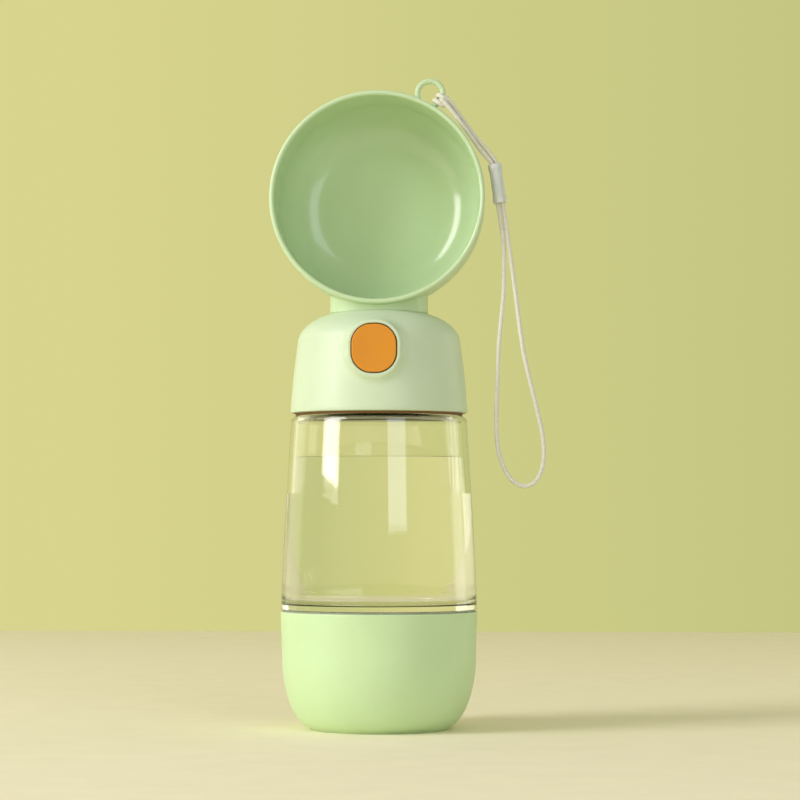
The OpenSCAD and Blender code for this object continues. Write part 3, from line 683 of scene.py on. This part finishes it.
inner = [(CAP_R - CAP_WALL + 0.3 * MM, CAP_Z)]
inner += bulged((CAP_R - CAP_WALL, CAP_Z + CAP_EDGE), (cap_side_r - CAP_WALL, CAP_SIDE_Z),
                CAP_BULGE)
inner += shoulder(CAP_WALL, 30)[1:] + [(CENTRE_R, CAP_TOP - CAP_WALL), (1 * MM, CAP_TOP - CAP_WALL)]
edge = [(CAP_R - CAP_EDGE, CAP_Z), (CAP_R - CAP_EDGE * ARC_MIDDLE, CAP_Z + CAP_EDGE * ARC_MIDDLE)]
cap = lofted("cap_cover", [ring_of(*p) for p in inner[::-1] + edge] + list(outer)
             + [ring_of(1 * MM, CAP_TOP)])
print("cap faces:", len(cap.data.polygons))

# %% [markdown]
# The window for the button and the hole for the spigot are cut last, with tools that flare at
# the surface. The window's flare is a quarter circle, so the cut leaves a rounded lip and not a
# knife edge, just as a mould does.

# %% Window and spigot hole
CAP_HOLE_R, HOLE_REACH = 11.3 * MM, 4 * MM
LIP = 0.25 * MM
WINDOW_BACK_Y = -18 * MM


def plate_outline(width, height, corner, count=32):
    """Points (x, z) round a rectangle with rounded corners."""
    points = []
    for sx, sz, first in ((1, 1, 0), (-1, 1, 90), (-1, -1, 180), (1, -1, 270)):
        a = np.radians(first + np.linspace(0, 90, count))
        points.append(np.stack([sx * (width / 2 - corner) + corner * np.cos(a),
                                sz * (height / 2 - corner) + corner * np.sin(a)], 1))
    flat = []
    for a, b in zip(points, points[1:] + points[:1]):
        flat += [a, a[-1] + (b[0] - a[-1]) * np.linspace(0, 1, 10)[1:-1, None]]
    return np.vstack(flat)


def button_ring(grow, y, shrink=1.0):
    """The button's outline, grown or drawn in, at a depth y and the button's height."""
    flat = plate_outline(BUTTON_W + 2 * grow, BUTTON_H + 2 * grow, BUTTON_CORNER + grow) * shrink
    return np.stack([flat[:, 0], 0 * flat[:, 0] + y, flat[:, 1] + BUTTON_Z], 1)


window = [button_ring(BUTTON_GAP + LIP + 0.3 * MM, -FRAME_Y - 1 * MM)]
window += [button_ring(BUTTON_GAP + LIP * (1 - math.sin(a)), -FRAME_Y + LIP * (1 - math.cos(a)))
           for a in np.radians(np.linspace(0, 90, 7))]
cut(cap, lofted("window_tool", window + [button_ring(BUTTON_GAP, WINDOW_BACK_Y)]))
cut(cap, turned("hole_tool", [
    (0, CAP_TOP - HOLE_REACH), (CAP_HOLE_R, CAP_TOP - HOLE_REACH), (CAP_HOLE_R, CAP_TOP - LIP),
    (CAP_HOLE_R + LIP * 0.3, CAP_TOP - LIP * 0.3), (CAP_HOLE_R + LIP, CAP_TOP),
    (CAP_HOLE_R + LIP, CAP_TOP + 1 * MM), (0, CAP_TOP + 1 * MM)], sides=128))
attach(cap, "cap")
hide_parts("cap_shell")
print("cap after the cuts:", len(cap.data.polygons))

# %% [markdown]
# ## The push button
#
# The orange button is a small cap of its own: a face with a shallow hollow for the thumb, an
# edge that is rounded over and a skirt that slides in the frame. It is lofted from outlines
# of one shape, from the middle of the face out and then back inside.

# %% Button
BUTTON_Y, TAB_T = button_low.y, 1.4 * MM
BUTTON_WALL, BUTTON_EDGE, THUMB_HOLLOW = 1.6 * MM, 0.35 * MM, 0.35 * MM
FILLET = 0.3 * MM

back_y = button_high.y
rings = [button_ring(-BUTTON_EDGE, BUTTON_Y + THUMB_HOLLOW * (1 - t * t) ** 2, t)
         for t in np.linspace(0.04, 0.97, 22)]
rings += [button_ring(-BUTTON_EDGE * (1 - math.sin(a)), BUTTON_Y + BUTTON_EDGE * (1 - math.cos(a)))
          for a in np.radians(np.linspace(0, 90, 9))]
rings += [button_ring(0, y) for y in np.linspace(BUTTON_Y + 1.5 * MM, back_y, 5)]
rings += [button_ring(-BUTTON_WALL, y) for y in (back_y, BUTTON_Y + BUTTON_WALL + FILLET)]
rings += [button_ring(-BUTTON_WALL - FILLET, BUTTON_Y + BUTTON_WALL, t) for t in (1, 0.5, 0.1)]
button = lofted("push_button", rings)
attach(button, "button")
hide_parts("button")
print("button faces:", len(button.data.polygons))

# %% [markdown]
# Behind the face the button has two tabs at its sides, which catch behind the cap's wall, and a
# round socket that grips the push rod. They only show when the cap is open, but they are part
# of the moulding, so they are joined on as solids.

# %% Button tabs and socket
TAB_H = 4.4 * MM
SOCKET_R, SOCKET_REACH, ROD_R = 3.6 * MM, 5.6 * MM, 2.2 * MM


def block(name, low, high):
    """A closed box between two corners, as a tool for joining."""
    x, y, z = zip(low, high)
    return lofted(name, [np.array(
        [(x[0], v, z[0]), (x[1], v, z[0]), (x[1], v, z[1]), (x[0], v, z[1])]) for v in y])


def bar_along_y(name, radius, y0, y1, sides=64):
    a = np.linspace(0, 2 * np.pi, sides, endpoint=False)
    return lofted(name, [np.stack([radius * np.cos(a), 0 * a + y, BUTTON_Z + radius * np.sin(a)], 1)
                         for y in (y0, y1)])


for side in (-1, 1):
    reach = sorted((side * (BUTTON_W / 2 - BUTTON_WALL / 2), side * button_high.x))
    cut(button, block("tab", (reach[0], back_y - TAB_T, BUTTON_Z - TAB_H / 2),
                      (reach[1], back_y, BUTTON_Z + TAB_H / 2)), "UNION")
cut(button, bar_along_y(
    "socket", SOCKET_R, BUTTON_Y + BUTTON_WALL * 0.8, BUTTON_Y + SOCKET_REACH), "UNION")
cut(button, bar_along_y("bore", ROD_R, BUTTON_Y + BUTTON_WALL, BUTTON_Y + 8 * MM))
print("button with tabs and socket:", len(button.data.polygons))

# %% [markdown]
# ## The drinking bowl
#
# The bowl is a deep cup turned about its own axis, with a rounded lip, and its mouth is tipped
# back by a few degrees. Its inside gives the photograph its long soft reflections, so it is
# made as one clean turned face.

# %% Bowl
BOWL_R, BOWL_DEPTH, BOWL_WALL = 39.7 * MM, 33 * MM, 1.9 * MM
BOWL_DRAFT, BOWL_TILT = math.radians(1.5), math.radians(3.5)
BOWL_ROUND = 18 * MM
BOWL_CENTRE = Vector((0, -16 * MM, CAP_TOP + 41.4 * MM))

to_world = Matrix.Translation(BOWL_CENTRE) @ Matrix.Rotation(math.pi / 2 - BOWL_TILT, 4, "X")
lip_r = BOWL_WALL / 2
turn_z = BOWL_ROUND - BOWL_DEPTH
turn_r = BOWL_R + turn_z * math.tan(BOWL_DRAFT)


def bowl_side(inset):
    """The bowl's outline from its axis to its lip, drawn in by inset."""
    r = BOWL_ROUND - inset
    points = [(0, inset - BOWL_DEPTH)] + ellipse(turn_r - BOWL_ROUND, turn_z, r, r, -90, 0, 40)
    return points + list(np.linspace(points[-1], (BOWL_R - inset, -lip_r), 17))[1:]


outline = bowl_side(0) + ellipse(BOWL_R - lip_r, -lip_r, lip_r, lip_r, 0, 180, 14)[1:-1]
bowl = turned("drinking_bowl", outline + bowl_side(BOWL_WALL)[::-1], sides=320)
bowl.data.transform(to_world)
print("bowl faces:", len(bowl.data.polygons))

# %% [markdown]
# The bowl stands on a short round neck that turns on the dome of the cap, so the neck's
# underside follows the dome. Where the neck runs into the bowl it stops inside the bowl's
# wall, so that the inside stays clean. In front it is drawn in under the lip, which shades it.

# %% Neck
COLLAR_R, COLLAR_ROUND = 18.2 * MM, 7 * MM
NECK_SEAM, LIP_SETBACK = 0.05 * MM, 0.3 * MM
NECK_TOP_Z = CAP_TOP + 13.8 * MM
NECK_FRONT_R, NECK_FRONT_Y = 24 * MM, -15.8 * MM
CLEAR_R, CLEAR_Z = BOWL_R + 12 * MM, 8 * MM


def over_dome(r):
    """Height of the neck's underside, just over the dome."""
    past = max(0, r - CAP_CORNER_R) / cap_corner_w
    return min(CAP_SIDE_Z + CAP_CORNER_H * math.sqrt(1 - past * past), CAP_TOP) + NECK_SEAM


def clear_hollow(piece):
    """Cuts from a piece what would stand in the bowl's hollow or before its mouth."""
    hollow = turned("hollow_tool", bowl_side(BOWL_WALL * 0.6) + [
        (CLEAR_R, -lip_r - LIP_SETBACK), (CLEAR_R, CLEAR_Z), (0, CLEAR_Z)])
    hollow.data.transform(to_world)
    return cut(piece, hollow)


seat = [(r, over_dome(r), 0) for r in [0, *np.linspace(12 * MM, COLLAR_R - 2 * EDGE, 12)]]
neck = turned("neck", rounded(seat + [
    (COLLAR_R, over_dome(COLLAR_R), EDGE), (COLLAR_R, NECK_TOP_Z, COLLAR_ROUND),
    (0, NECK_TOP_Z, 0)], 12))
front = turned("front_tool", [
    (0, CAP_SIDE_Z), (NECK_FRONT_R, CAP_SIDE_Z), (NECK_FRONT_R, NECK_TOP_Z * 1.1),
    (0, NECK_TOP_Z * 1.1)])
front.data.transform(Matrix.Translation((0, NECK_FRONT_Y + NECK_FRONT_R, 0)))
cut(neck, front, "INTERSECT")
cut(bowl, clear_hollow(neck), "UNION")
print("bowl with neck:", len(bowl.data.polygons))

# %% [markdown]
# Under the neck a stepped spigot goes down through the cap. It carries the groove of the ring
# clip and the groove of the O-ring, and the water rises through its bore into the lowest part
# of the bowl.

# %% Spigot and outlet
SPIGOT_R, SPIGOT_TOP_Z, SPIGOT_STEP_Z = 11 * MM, CAP_TOP + 2.3 * MM, CAP_TOP - 3.9 * MM
NOSE_R, NOSE_Z = 8.7 * MM, CAP_TOP - 8.2 * MM
CLIP_R, CLIP_Z, CLIP_H = 10 * MM, CAP_TOP - 3.1 * MM, 1 * MM
ORING_R, ORING_Z, ORING_H = 7.6 * MM, CAP_TOP - 6.2 * MM, 1.5 * MM
OUTLET_R, OUTLET_TOP_Z, OUTLET_CHAMFER = 6.5 * MM, BOWL_CENTRE.z - 35 * MM, 0.4 * MM
GROOVE_LIP = 0.05 * MM


def groove(outer_r, inner_r, low_z, high_z):
    """Corners of a groove round a spigot, from its lower side up."""
    return [(outer_r, low_z, GROOVE_LIP), (inner_r, low_z, FINE_EDGE),
            (inner_r, high_z, FINE_EDGE), (outer_r, high_z, GROOVE_LIP)]


cut(bowl, turned("spigot", rounded(
    [(0, NOSE_Z, 0), (NOSE_R, NOSE_Z, 0.4 * MM)]
    + groove(NOSE_R, ORING_R, ORING_Z - ORING_H / 2, ORING_Z + ORING_H / 2)
    + [(NOSE_R, SPIGOT_STEP_Z, FINE_EDGE), (SPIGOT_R, SPIGOT_STEP_Z, EDGE)]
    + groove(SPIGOT_R, CLIP_R, CLIP_Z, CLIP_Z + CLIP_H)
    + [(SPIGOT_R, SPIGOT_TOP_Z, 0), (0, SPIGOT_TOP_Z, 0)], 4), sides=128), "UNION")
outlet_tool = turned("outlet", [
    (0, NOSE_Z - 2 * MM), (OUTLET_R + OUTLET_CHAMFER, NOSE_Z - 2 * MM),
    (OUTLET_R + OUTLET_CHAMFER, NOSE_Z), (OUTLET_R, NOSE_Z + OUTLET_CHAMFER),
    (OUTLET_R, OUTLET_TOP_Z), (0, OUTLET_TOP_Z)], sides=128)
print("bowl with spigot:", len(bowl.data.polygons))

# %% [markdown]
# The eye for the wrist cord is a small ring that grows out of the rim. It is made in the bowl's
# own frame and joined on, and the outlet is bored last, through everything.

# %% Eye
EYE_R, EYE_BAR_R, EYE_BACK = 4.7 * MM, 1.05 * MM, 3.6 * MM
EYE_ANGLE = math.radians(26.6)


def ring_eye(name, radius, bar, place, sides=96, round_bar=28):
    """A torus in its own plane, put in place."""
    a = np.linspace(0, 2 * np.pi, sides, endpoint=False)
    b = np.linspace(0, 2 * np.pi, round_bar, endpoint=False)
    reach = radius + bar * np.cos(b)
    points = np.stack([np.cos(a)[:, None] * reach, np.sin(a)[:, None] * reach,
                       bar * np.sin(b) + 0 * a[:, None]], -1).reshape(-1, 3)
    made = piece_from(name, points, skin_faces(sides, round_bar, joined=True), None)
    made.data.transform(place)
    return made


eye_place = (to_world @ Matrix.Rotation(-EYE_ANGLE, 4, "Z")
             @ Matrix.Translation((0, BOWL_R + EYE_R - EYE_BAR_R, -EYE_BACK)))
cut(bowl, clear_hollow(ring_eye("eye", EYE_R, EYE_BAR_R, eye_place)), "UNION")
cut(bowl, outlet_tool)
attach(bowl, "bowl")
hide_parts("bowl")
print("bowl after joining:", len(bowl.data.polygons))

# %% [markdown]
# ## The lark's-head knot
#
# The cord hangs on the eye by a lark's head: its middle goes round the bar and the two strands
# come out under it. It is drawn as one run of cord in the frame of the bar, with X away from
# the bowl, Y along the bar and Z to the front. One half is written down, the other half is its
# mirror image, and the ends run into the two strands.

# %% Knot
KNOT_TURN = math.radians(-35)
HALF_KNOT = [
    (2.0, -0.35, -0.35), (1.35, -0.6, -1.35), (0, -0.82, -1.98), (-1.4, -0.98, -1.4),
    (-1.96, -1.08, 0), (-1.4, -1.2, 1.4), (0, -1.3, 1.98), (1.3, -1.36, 1.75),
    (2.1, -1.05, 1.55), (2.3, -0.45, 1.6)]

bar_place = (eye_place @ Matrix.Rotation(KNOT_TURN + EYE_ANGLE, 4, "Z")
             @ Matrix.Translation((EYE_R, 0, 0)))
to_bar = bar_place.inverted()
ends = {k: tuple(to_bar @ Vector(np.array(CORD_POINTS[k]) * MM)) for k in (0, -2, -1)}
half = np.array(HALF_KNOT) * MM
mirrored = half[::-1] * (1, -1, 1)
if ends[0][1] > ends[-2][1]:
    half, mirrored = half * (1, -1, 1), mirrored * (1, -1, 1)
knot_route = np.vstack([ends[0], half, mirrored, ends[-1]])
knot_line, knot_length = smooth_route(knot_route, 0.15 * MM)
knot = braided_tube("cord_knot", knot_line, CORD_WIDTH)
knot.data.transform(bar_place)
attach(knot, "bowl")
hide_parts("lanyard_hitch")
print("knot length, mm:", round(knot_length / MM, 1))

# %% [markdown]
# ## The bead
#
# A translucent bead closes the cord's loop. It is a short tube with a soft swell at each end,
# a little waisted between them, and both strands pass through its bore.

# %% Bead
BEAD_L, BEAD_R, BEAD_BORE = 14.6 * MM, 2.6 * MM, 1.95 * MM
BEAD_TOP, BEAD_LEAN = Vector((43.2, -10, 208)) * MM, math.radians(8)
SWELL_Z, SWELL_ROUND, END_ROUND = 1.4 * MM, 1.2 * MM, 0.35 * MM
WAIST_Z, WAIST_ROUND = 3.2 * MM, 2 * MM

waist_r = BEAD_R - 0.28 * MM
outline = rounded([
    (BEAD_BORE, 0, 0), (BEAD_R - FINE_EDGE, 0, END_ROUND), (BEAD_R, SWELL_Z, SWELL_ROUND),
    (waist_r, WAIST_Z, WAIST_ROUND), (waist_r, BEAD_L - WAIST_Z, WAIST_ROUND),
    (BEAD_R, BEAD_L - SWELL_Z, SWELL_ROUND), (BEAD_R - FINE_EDGE, BEAD_L, END_ROUND),
    (BEAD_BORE, BEAD_L, EDGE), (BEAD_BORE, HAIR / 10, 0)], 6)
bead = turned("cord_bead", outline, sides=64, closed=True)
bead.data.transform(Matrix.Translation(BEAD_TOP) @ Matrix.Rotation(math.pi - BEAD_LEAN, 4, "Y"))
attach(bead, "bowl")
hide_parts("cord_slider")
print("bead length, mm:", round(BEAD_L / MM, 1))

# %% [markdown]
# ## Finishes
#
# Every finish is a small node tree. A number that is the same everywhere is set straight on the
# shader, and only what varies over the surface comes from other nodes. The helpers below make
# a node and fill its sockets in one call, so that each finish reads as one sentence.

# %% Nodes and shaders
def feed(tree, target, **sockets):
    """Gives a node's sockets, named as on the node with _ for spaces, a value or a link."""
    for name, value in sockets.items():
        socket = target.inputs[name.replace("_", " ")]
        if isinstance(value, bpy.types.NodeSocket):
            tree.links.new(value, socket)
        else:
            socket.default_value = value


def node(tree, kind, **sockets):
    made = tree.nodes.new("ShaderNode" + kind)
    feed(tree, made, **sockets)
    return made


def shader(name, colour, roughness, **sockets):
    """A material with a Principled shader."""
    material = bpy.data.materials.new(name)
    material.use_nodes = True
    tree = material.node_tree
    principled = tree.nodes["Principled BSDF"]
    feed(tree, principled, Base_Color=(*colour, 1), Roughness=roughness, **sockets)
    return material, tree, principled


def wear(piece, material):
    """Puts one material on a piece in place of what it has."""
    piece.data.materials.clear()
    piece.data.materials.append(material)


# %% [markdown]
# Moulded plastic has a fine grain from the mould, a colour that drifts very slightly and a
# sheen that isn't quite even. These come from noise in the piece's own coordinates, in metres,
# so the grain has its real size and stays with the piece when it moves.

# %% Moulded plastic
COLOUR_PATCH, SHEEN_PATCH = 18 * MM, 6 * MM
COLOUR_DRIFT = 0.018


def noise(tree, size, detail=2.0, stretch=(1, 1, 1)):
    """Noise in the piece's own coordinates, with blobs about size metres across."""
    place = node(tree, "TexCoord").outputs["Object"]
    scaled = node(tree, "Mapping", Vector=place, Scale=stretch).outputs["Vector"]
    return node(tree, "TexNoise", Vector=scaled, Scale=1 / size, Detail=detail).outputs["Fac"]


def spread(tree, value, low, high):
    """A value from 0 to 1 mapped to low to high."""
    return node(tree, "MapRange", Value=value, To_Min=low, To_Max=high).outputs["Result"]


def ramp(tree, value, first, second, stops=(0, 1)):
    """A colour that goes from the first to the second as a value goes between two stops."""
    made = node(tree, "ValToRGB", Fac=value)
    for element, colour, stop in zip(made.color_ramp.elements, (first, second), stops):
        element.position, element.color = stop, (*colour, 1)
    return made.outputs["Color"]


def drift(tree, colour, value, amount):
    """A colour that grows a little darker and lighter with a value."""
    return ramp(tree, value, [c * (1 - amount) for c in colour],
                [min(1, c * (1 + amount)) for c in colour], (0.3, 0.7))


def bump(tree, height, depth, strength=1.0):
    """A bump whose height runs over depth metres."""
    return node(tree, "Bump", Height=height, Distance=depth, Strength=strength).outputs["Normal"]


def moulded(name, colour, roughness, grain=0.28 * MM, depth=0.006 * MM, uneven=0.05, **sockets):
    """Moulded plastic: fine grain, slow drift of colour and sheen."""
    material, tree, principled = shader(name, colour, roughness, **sockets)
    feed(tree, principled,
         Base_Color=drift(tree, colour, noise(tree, COLOUR_PATCH, 3), COLOUR_DRIFT),
         Roughness=spread(tree, noise(tree, SHEEN_PATCH, 4),
                          roughness - uneven, roughness + uneven),
         Normal=bump(tree, noise(tree, grain), depth))
    return material


print("colour drifts over patches of, mm:", round(COLOUR_PATCH / MM))

# %% [markdown]
# The cup and the cap are satin pastel green, the cap a little paler, and the button is a satin
# orange. The bowl is the same family of green. It is satin outside like the cap, but polished
# inside, where it has to come clean, so the faces nearer to the inside than to the outside get
# a finish of their own. That finish is also a little darker in colour: painted shade for the
# bowl's hollow.

# %% Plastics
wear(cup, moulded("cup_green", (0.60, 0.79, 0.44), 0.42, Coat_Weight=0.15, Coat_Roughness=0.3))
wear(cap, moulded("cap_green", (0.62, 0.735, 0.51), 0.45, Coat_Weight=0.12, Coat_Roughness=0.35))
wear(button, moulded("button_orange", (0.72, 0.27, 0.012), 0.38, Coat_Weight=0.1,
                     Coat_Roughness=0.3))
wear(bowl, moulded("bowl_green", (0.57, 0.72, 0.43), 0.42, Coat_Weight=0.1, Coat_Roughness=0.3))
# The inside's copy of the green is a little darker than the outside's: painted shade for the
# hollow.
bowl.data.materials.append(moulded(
    "bowl_polished_shaded", (0.53, 0.69, 0.40), 0.2, grain=0.6 * MM, depth=0.002 * MM, uneven=0.03,
    Coat_Weight=0.4, Coat_Roughness=0.08))
INSIDE_FROM = -0.7 * BOWL_WALL
to_bowl = to_world.inverted()
for face in bowl.data.polygons:
    x, y, z = to_bowl @ face.center
    side = math.hypot(x, y) - BOWL_R - z * math.tan(BOWL_DRAFT)
    face.material_index = int(rounded_both(side, -BOWL_DEPTH - z, BOWL_ROUND) < INSIDE_FROM)
print("plastics:", [m.name for m in bpy.data.materials if m.users])

# %% [markdown]
# Clear plastic bends light by its index of refraction, about 1.52 for this kind, and water by
# 1.33. The wall of a moulded bottle is never perfectly even, so a very shallow, slow bump
# makes its reflections waver a little, as real ones do.

# %% Clear plastic and water
PLASTIC_IOR, WATER_IOR = 1.52, 1.33

clear, tree, principled = shader(
    "clear_wall", (0.985, 0.99, 0.965), 0.02, Transmission_Weight=1, IOR=PLASTIC_IOR)
feed(tree, principled, Normal=bump(tree, noise(tree, 14 * MM, 1, (1, 1, 0.35)), 0.05 * MM, 0.25))
wear(bottle, clear)
fluid, tree, principled = shader(
    "water_clear", (0.985, 0.995, 0.96), 0.0, Transmission_Weight=1, IOR=WATER_IOR)
feed(tree, principled, Normal=bump(tree, noise(tree, 9 * MM), 0.02 * MM, 0.15))
wear(water, fluid)
print("clear pieces:", bottle.name, water.name)

# %% [markdown]
# Silicone is soft and matte. The cord is off-white polyester: its braid is in the mesh, and the
# material adds the fine lines of single fibres and a faint sheen. The bead lets light through.
# Wire and rod are drawn steel, whose sheen varies in fine streaks.

# %% Soft and small finishes
CORD_WHITE = (0.74, 0.72, 0.60)

# The ring's orange is darkened to a deep brown: painted shade for the gap under the cap.
ring_orange_shaded = moulded("ring_orange_shaded", (0.24, 0.11, 0.02), 0.6, grain=0.2 * MM)
seal_white = moulded("seal_white", (0.80, 0.81, 0.78), 0.6, grain=0.2 * MM)
core_white = moulded("core_white", (0.78, 0.79, 0.75), 0.45)

fibre, tree, principled = shader(
    "cord_white", CORD_WHITE, 0.75, Sheen_Weight=0.4, Sheen_Roughness=0.5)
feed(tree, principled, Base_Color=drift(tree, CORD_WHITE, noise(tree, 0.35 * MM, 3), 0.14),
     Normal=bump(tree, noise(tree, 0.09 * MM, 3, (1, 1, 0.3)), 0.05 * MM, 0.7))

milky, tree, principled = shader(
    "bead_milky", (0.90, 0.91, 0.87), 0.28, Transmission_Weight=0.35, IOR=1.47,
    Subsurface_Weight=0.3, Subsurface_Scale=1 * MM)
feed(tree, principled, Normal=bump(tree, noise(tree, 0.5 * MM), 0.006 * MM))

drawn, tree, principled = shader("drawn_steel", (0.62, 0.62, 0.63), 0.28, Metallic=1.0)
feed(tree, principled, Roughness=spread(tree, noise(tree, 0.15 * MM, 3, (1, 1, 0.1)), 0.18, 0.38))

for piece, material in ((cap_ring, ring_orange_shaded), (cord, fibre), (knot, fibre), (bead, milky)):
    wear(piece, material)
INNER_FINISH = {
    "base_seal": seal_white, "cap_core": core_white, "valve_body": core_white,
    "rod_oring": seal_white, "valve_stem": core_white, "valve_washer": seal_white,
    "valve_nut": drawn, "valve_spring": drawn, "push_rod": drawn, "button_spring": drawn,
    "neck_oring": seal_white, "neck_clip": drawn}
for name, material in INNER_FINISH.items():
    wear(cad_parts[name], material)
print("inner pieces finished:", len(INNER_FINISH))

# %% [markdown]
# ## Table and backdrop
#
# The bottle stands on a cream table in front of a plain yellow-green wall. The wall shows its
# colour to the camera and to anything that mirrors or refracts it, and is an ordinary
# painted surface for all other light, so it never acts as a lamp. Light Path tells the two
# kinds of ray apart. That colour grows darker from left to right: painted light, brighter on
# the side of the key lamp.

# %% Table and backdrop
TABLE_FRONT, TABLE_REAR, TABLE_SIDE = -2, 0.81, 1.0
WALL_Y, WALL_SIDE, WALL_LOW, WALL_HIGH = 1.1, 4, -1, 3
WALL_SHADE = 0.3
# The wall's colour at its left and right: the right is darker, painted shade away from the key
# lamp.
WALL_LIT_LEFT, WALL_SHADED_RIGHT = (0.69, 0.66, 0.27), (0.545, 0.56, 0.22)
TABLE_CREAM = (0.95, 0.875, 0.65)


def seen_rays(tree):
    """1 for rays from the camera, from mirrors and through clear pieces."""
    path = node(tree, "LightPath")
    value = path.outputs["Is Camera Ray"]
    for other in ("Is Glossy Ray", "Is Transmission Ray"):
        larger = node(tree, "Math")
        larger.operation = "MAXIMUM"
        tree.links.new(value, larger.inputs[0])
        tree.links.new(path.outputs[other], larger.inputs[1])
        value = larger.outputs[0]
    return value


def lit_or_seen(tree, lit, seen, output):
    """Gives an output one shader for ordinary light and another for the rays that show it."""
    mix = node(tree, "MixShader", Fac=seen_rays(tree))
    tree.links.new(lit.outputs[0], mix.inputs[1])
    tree.links.new(seen.outputs[0], mix.inputs[2])
    tree.links.new(mix.outputs[0], tree.nodes[output].inputs["Surface"])


def backdrop_material(name, left, right):
    """A wall whose colour goes from a lighter left to a darker right: painted light from the key
    lamp's side.
    """
    material = bpy.data.materials.new(name)
    material.use_nodes = True
    tree = material.node_tree
    tree.nodes.remove(tree.nodes["Principled BSDF"])
    place = node(tree, "TexCoord").outputs["Object"]
    x = node(tree, "SeparateXYZ", Vector=place).outputs["X"]
    across = node(tree, "MapRange", Value=x, From_Min=-WALL_SHADE, From_Max=WALL_SHADE)
    colour = ramp(tree, across.outputs["Result"], left, right)
    lit_or_seen(tree, node(tree, "BsdfDiffuse", Color=colour), node(tree, "Emission", Color=colour),
                "Material Output")
    return material


table = piece_from("table", [
    (-TABLE_SIDE, TABLE_FRONT, 0), (TABLE_SIDE, TABLE_FRONT, 0),
    (TABLE_SIDE, TABLE_REAR, 0), (-TABLE_SIDE, TABLE_REAR, 0)], [(0, 1, 2, 3)], None)
wall = piece_from("backdrop", [
    (-WALL_SIDE, WALL_Y, WALL_LOW), (WALL_SIDE, WALL_Y, WALL_LOW),
    (WALL_SIDE, WALL_Y, WALL_HIGH), (-WALL_SIDE, WALL_Y, WALL_HIGH)], [(0, 1, 2, 3)], None)
wear(wall, backdrop_material("wall_green", WALL_LIT_LEFT, WALL_SHADED_RIGHT))
wear(table, moulded("table_cream", TABLE_CREAM, 0.7, grain=1.2 * MM, depth=0.01 * MM))
print("table's rear edge at, m:", TABLE_REAR)

# %% [markdown]
# ## Light
#
# The light is that of a small studio. An even light comes from all round, twice as strong from
# the front left as from behind. A gradient over the whole world gives that softly, where a
# broad lamp in front would show as a veil in the clear wall. It too is replaced by the wall's
# colour where it would be seen.

# %% Light from all round
FILL_FROM = (-0.7, -0.66, 0.27)
FILL_WEAK, FILL_STRONG = 0.33, 0.67
FILL_COLOUR = (1, 0.985, 0.88)
SURROUND_GREEN = (0.60, 0.585, 0.25)

world = bpy.data.worlds.new("studio")
bpy.context.scene.world = world
world.use_nodes = True
tree = world.node_tree
place = node(tree, "TexCoord").outputs["Generated"]
towards = node(tree, "VectorMath")
towards.operation = "DOT_PRODUCT"
tree.links.new(place, towards.inputs[0])
towards.inputs[1].default_value = FILL_FROM
around = tree.nodes["Background"]
feed(tree, around, Color=(*FILL_COLOUR, 1),
     Strength=spread(tree, towards.outputs["Value"], FILL_WEAK, FILL_STRONG))
lit_or_seen(tree, around, node(tree, "Background", Color=(*SURROUND_GREEN, 1)), "World Output")
print("fill, weakest to strongest:", FILL_WEAK, FILL_STRONG)

# %% [markdown]
# The tall key lamp stands far out on the left. It makes the long shadow to the right and the
# bright upright lines in the bowl and the clear wall. A bluish window strip on the right gives
# the second set of those lines, and two weak lamps behind draw the bottle's edges. The lamps
# look at the bottle's middle. Nothing in front gets so bright that it loses its colour.

# %% Lamps
AIM = Vector((0, 0, 0.12))


def lamp(name, azimuth, elevation, distance, width, height, power, colour=(1, 1, 1)):
    """A soft rectangular lamp; azimuth 0 is the front and 90 the right, in degrees."""
    a, e = math.radians(azimuth), math.radians(elevation)
    back = Vector((math.sin(a) * math.cos(e), -math.cos(a) * math.cos(e), math.sin(e)))
    data = bpy.data.lights.new(name, "AREA")
    data.shape = "RECTANGLE"
    data.size, data.size_y, data.energy, data.color = width, height, power, colour
    light = placed(name, data)
    light.location = AIM + back * distance
    light.rotation_euler = (-back).to_track_quat("-Z", "Y").to_euler()


lamp("key", -62, 24.5, 1.7, 0.72, 1.18, 19.5, (1, 0.985, 1))
lamp("right_window", 26, 19, 1.1, 0.46, 0.64, 2.1, (0.74, 0.82, 1))
lamp("left_rear", -123, 12, 0.9, 0.53, 0.9, 0.7)
lamp("right_rear", 116, 12, 0.9, 0.35, 0.9, 1.0)
bpy.context.scene.view_settings.view_transform = "Standard"
print("lamps:", len(bpy.data.lights))
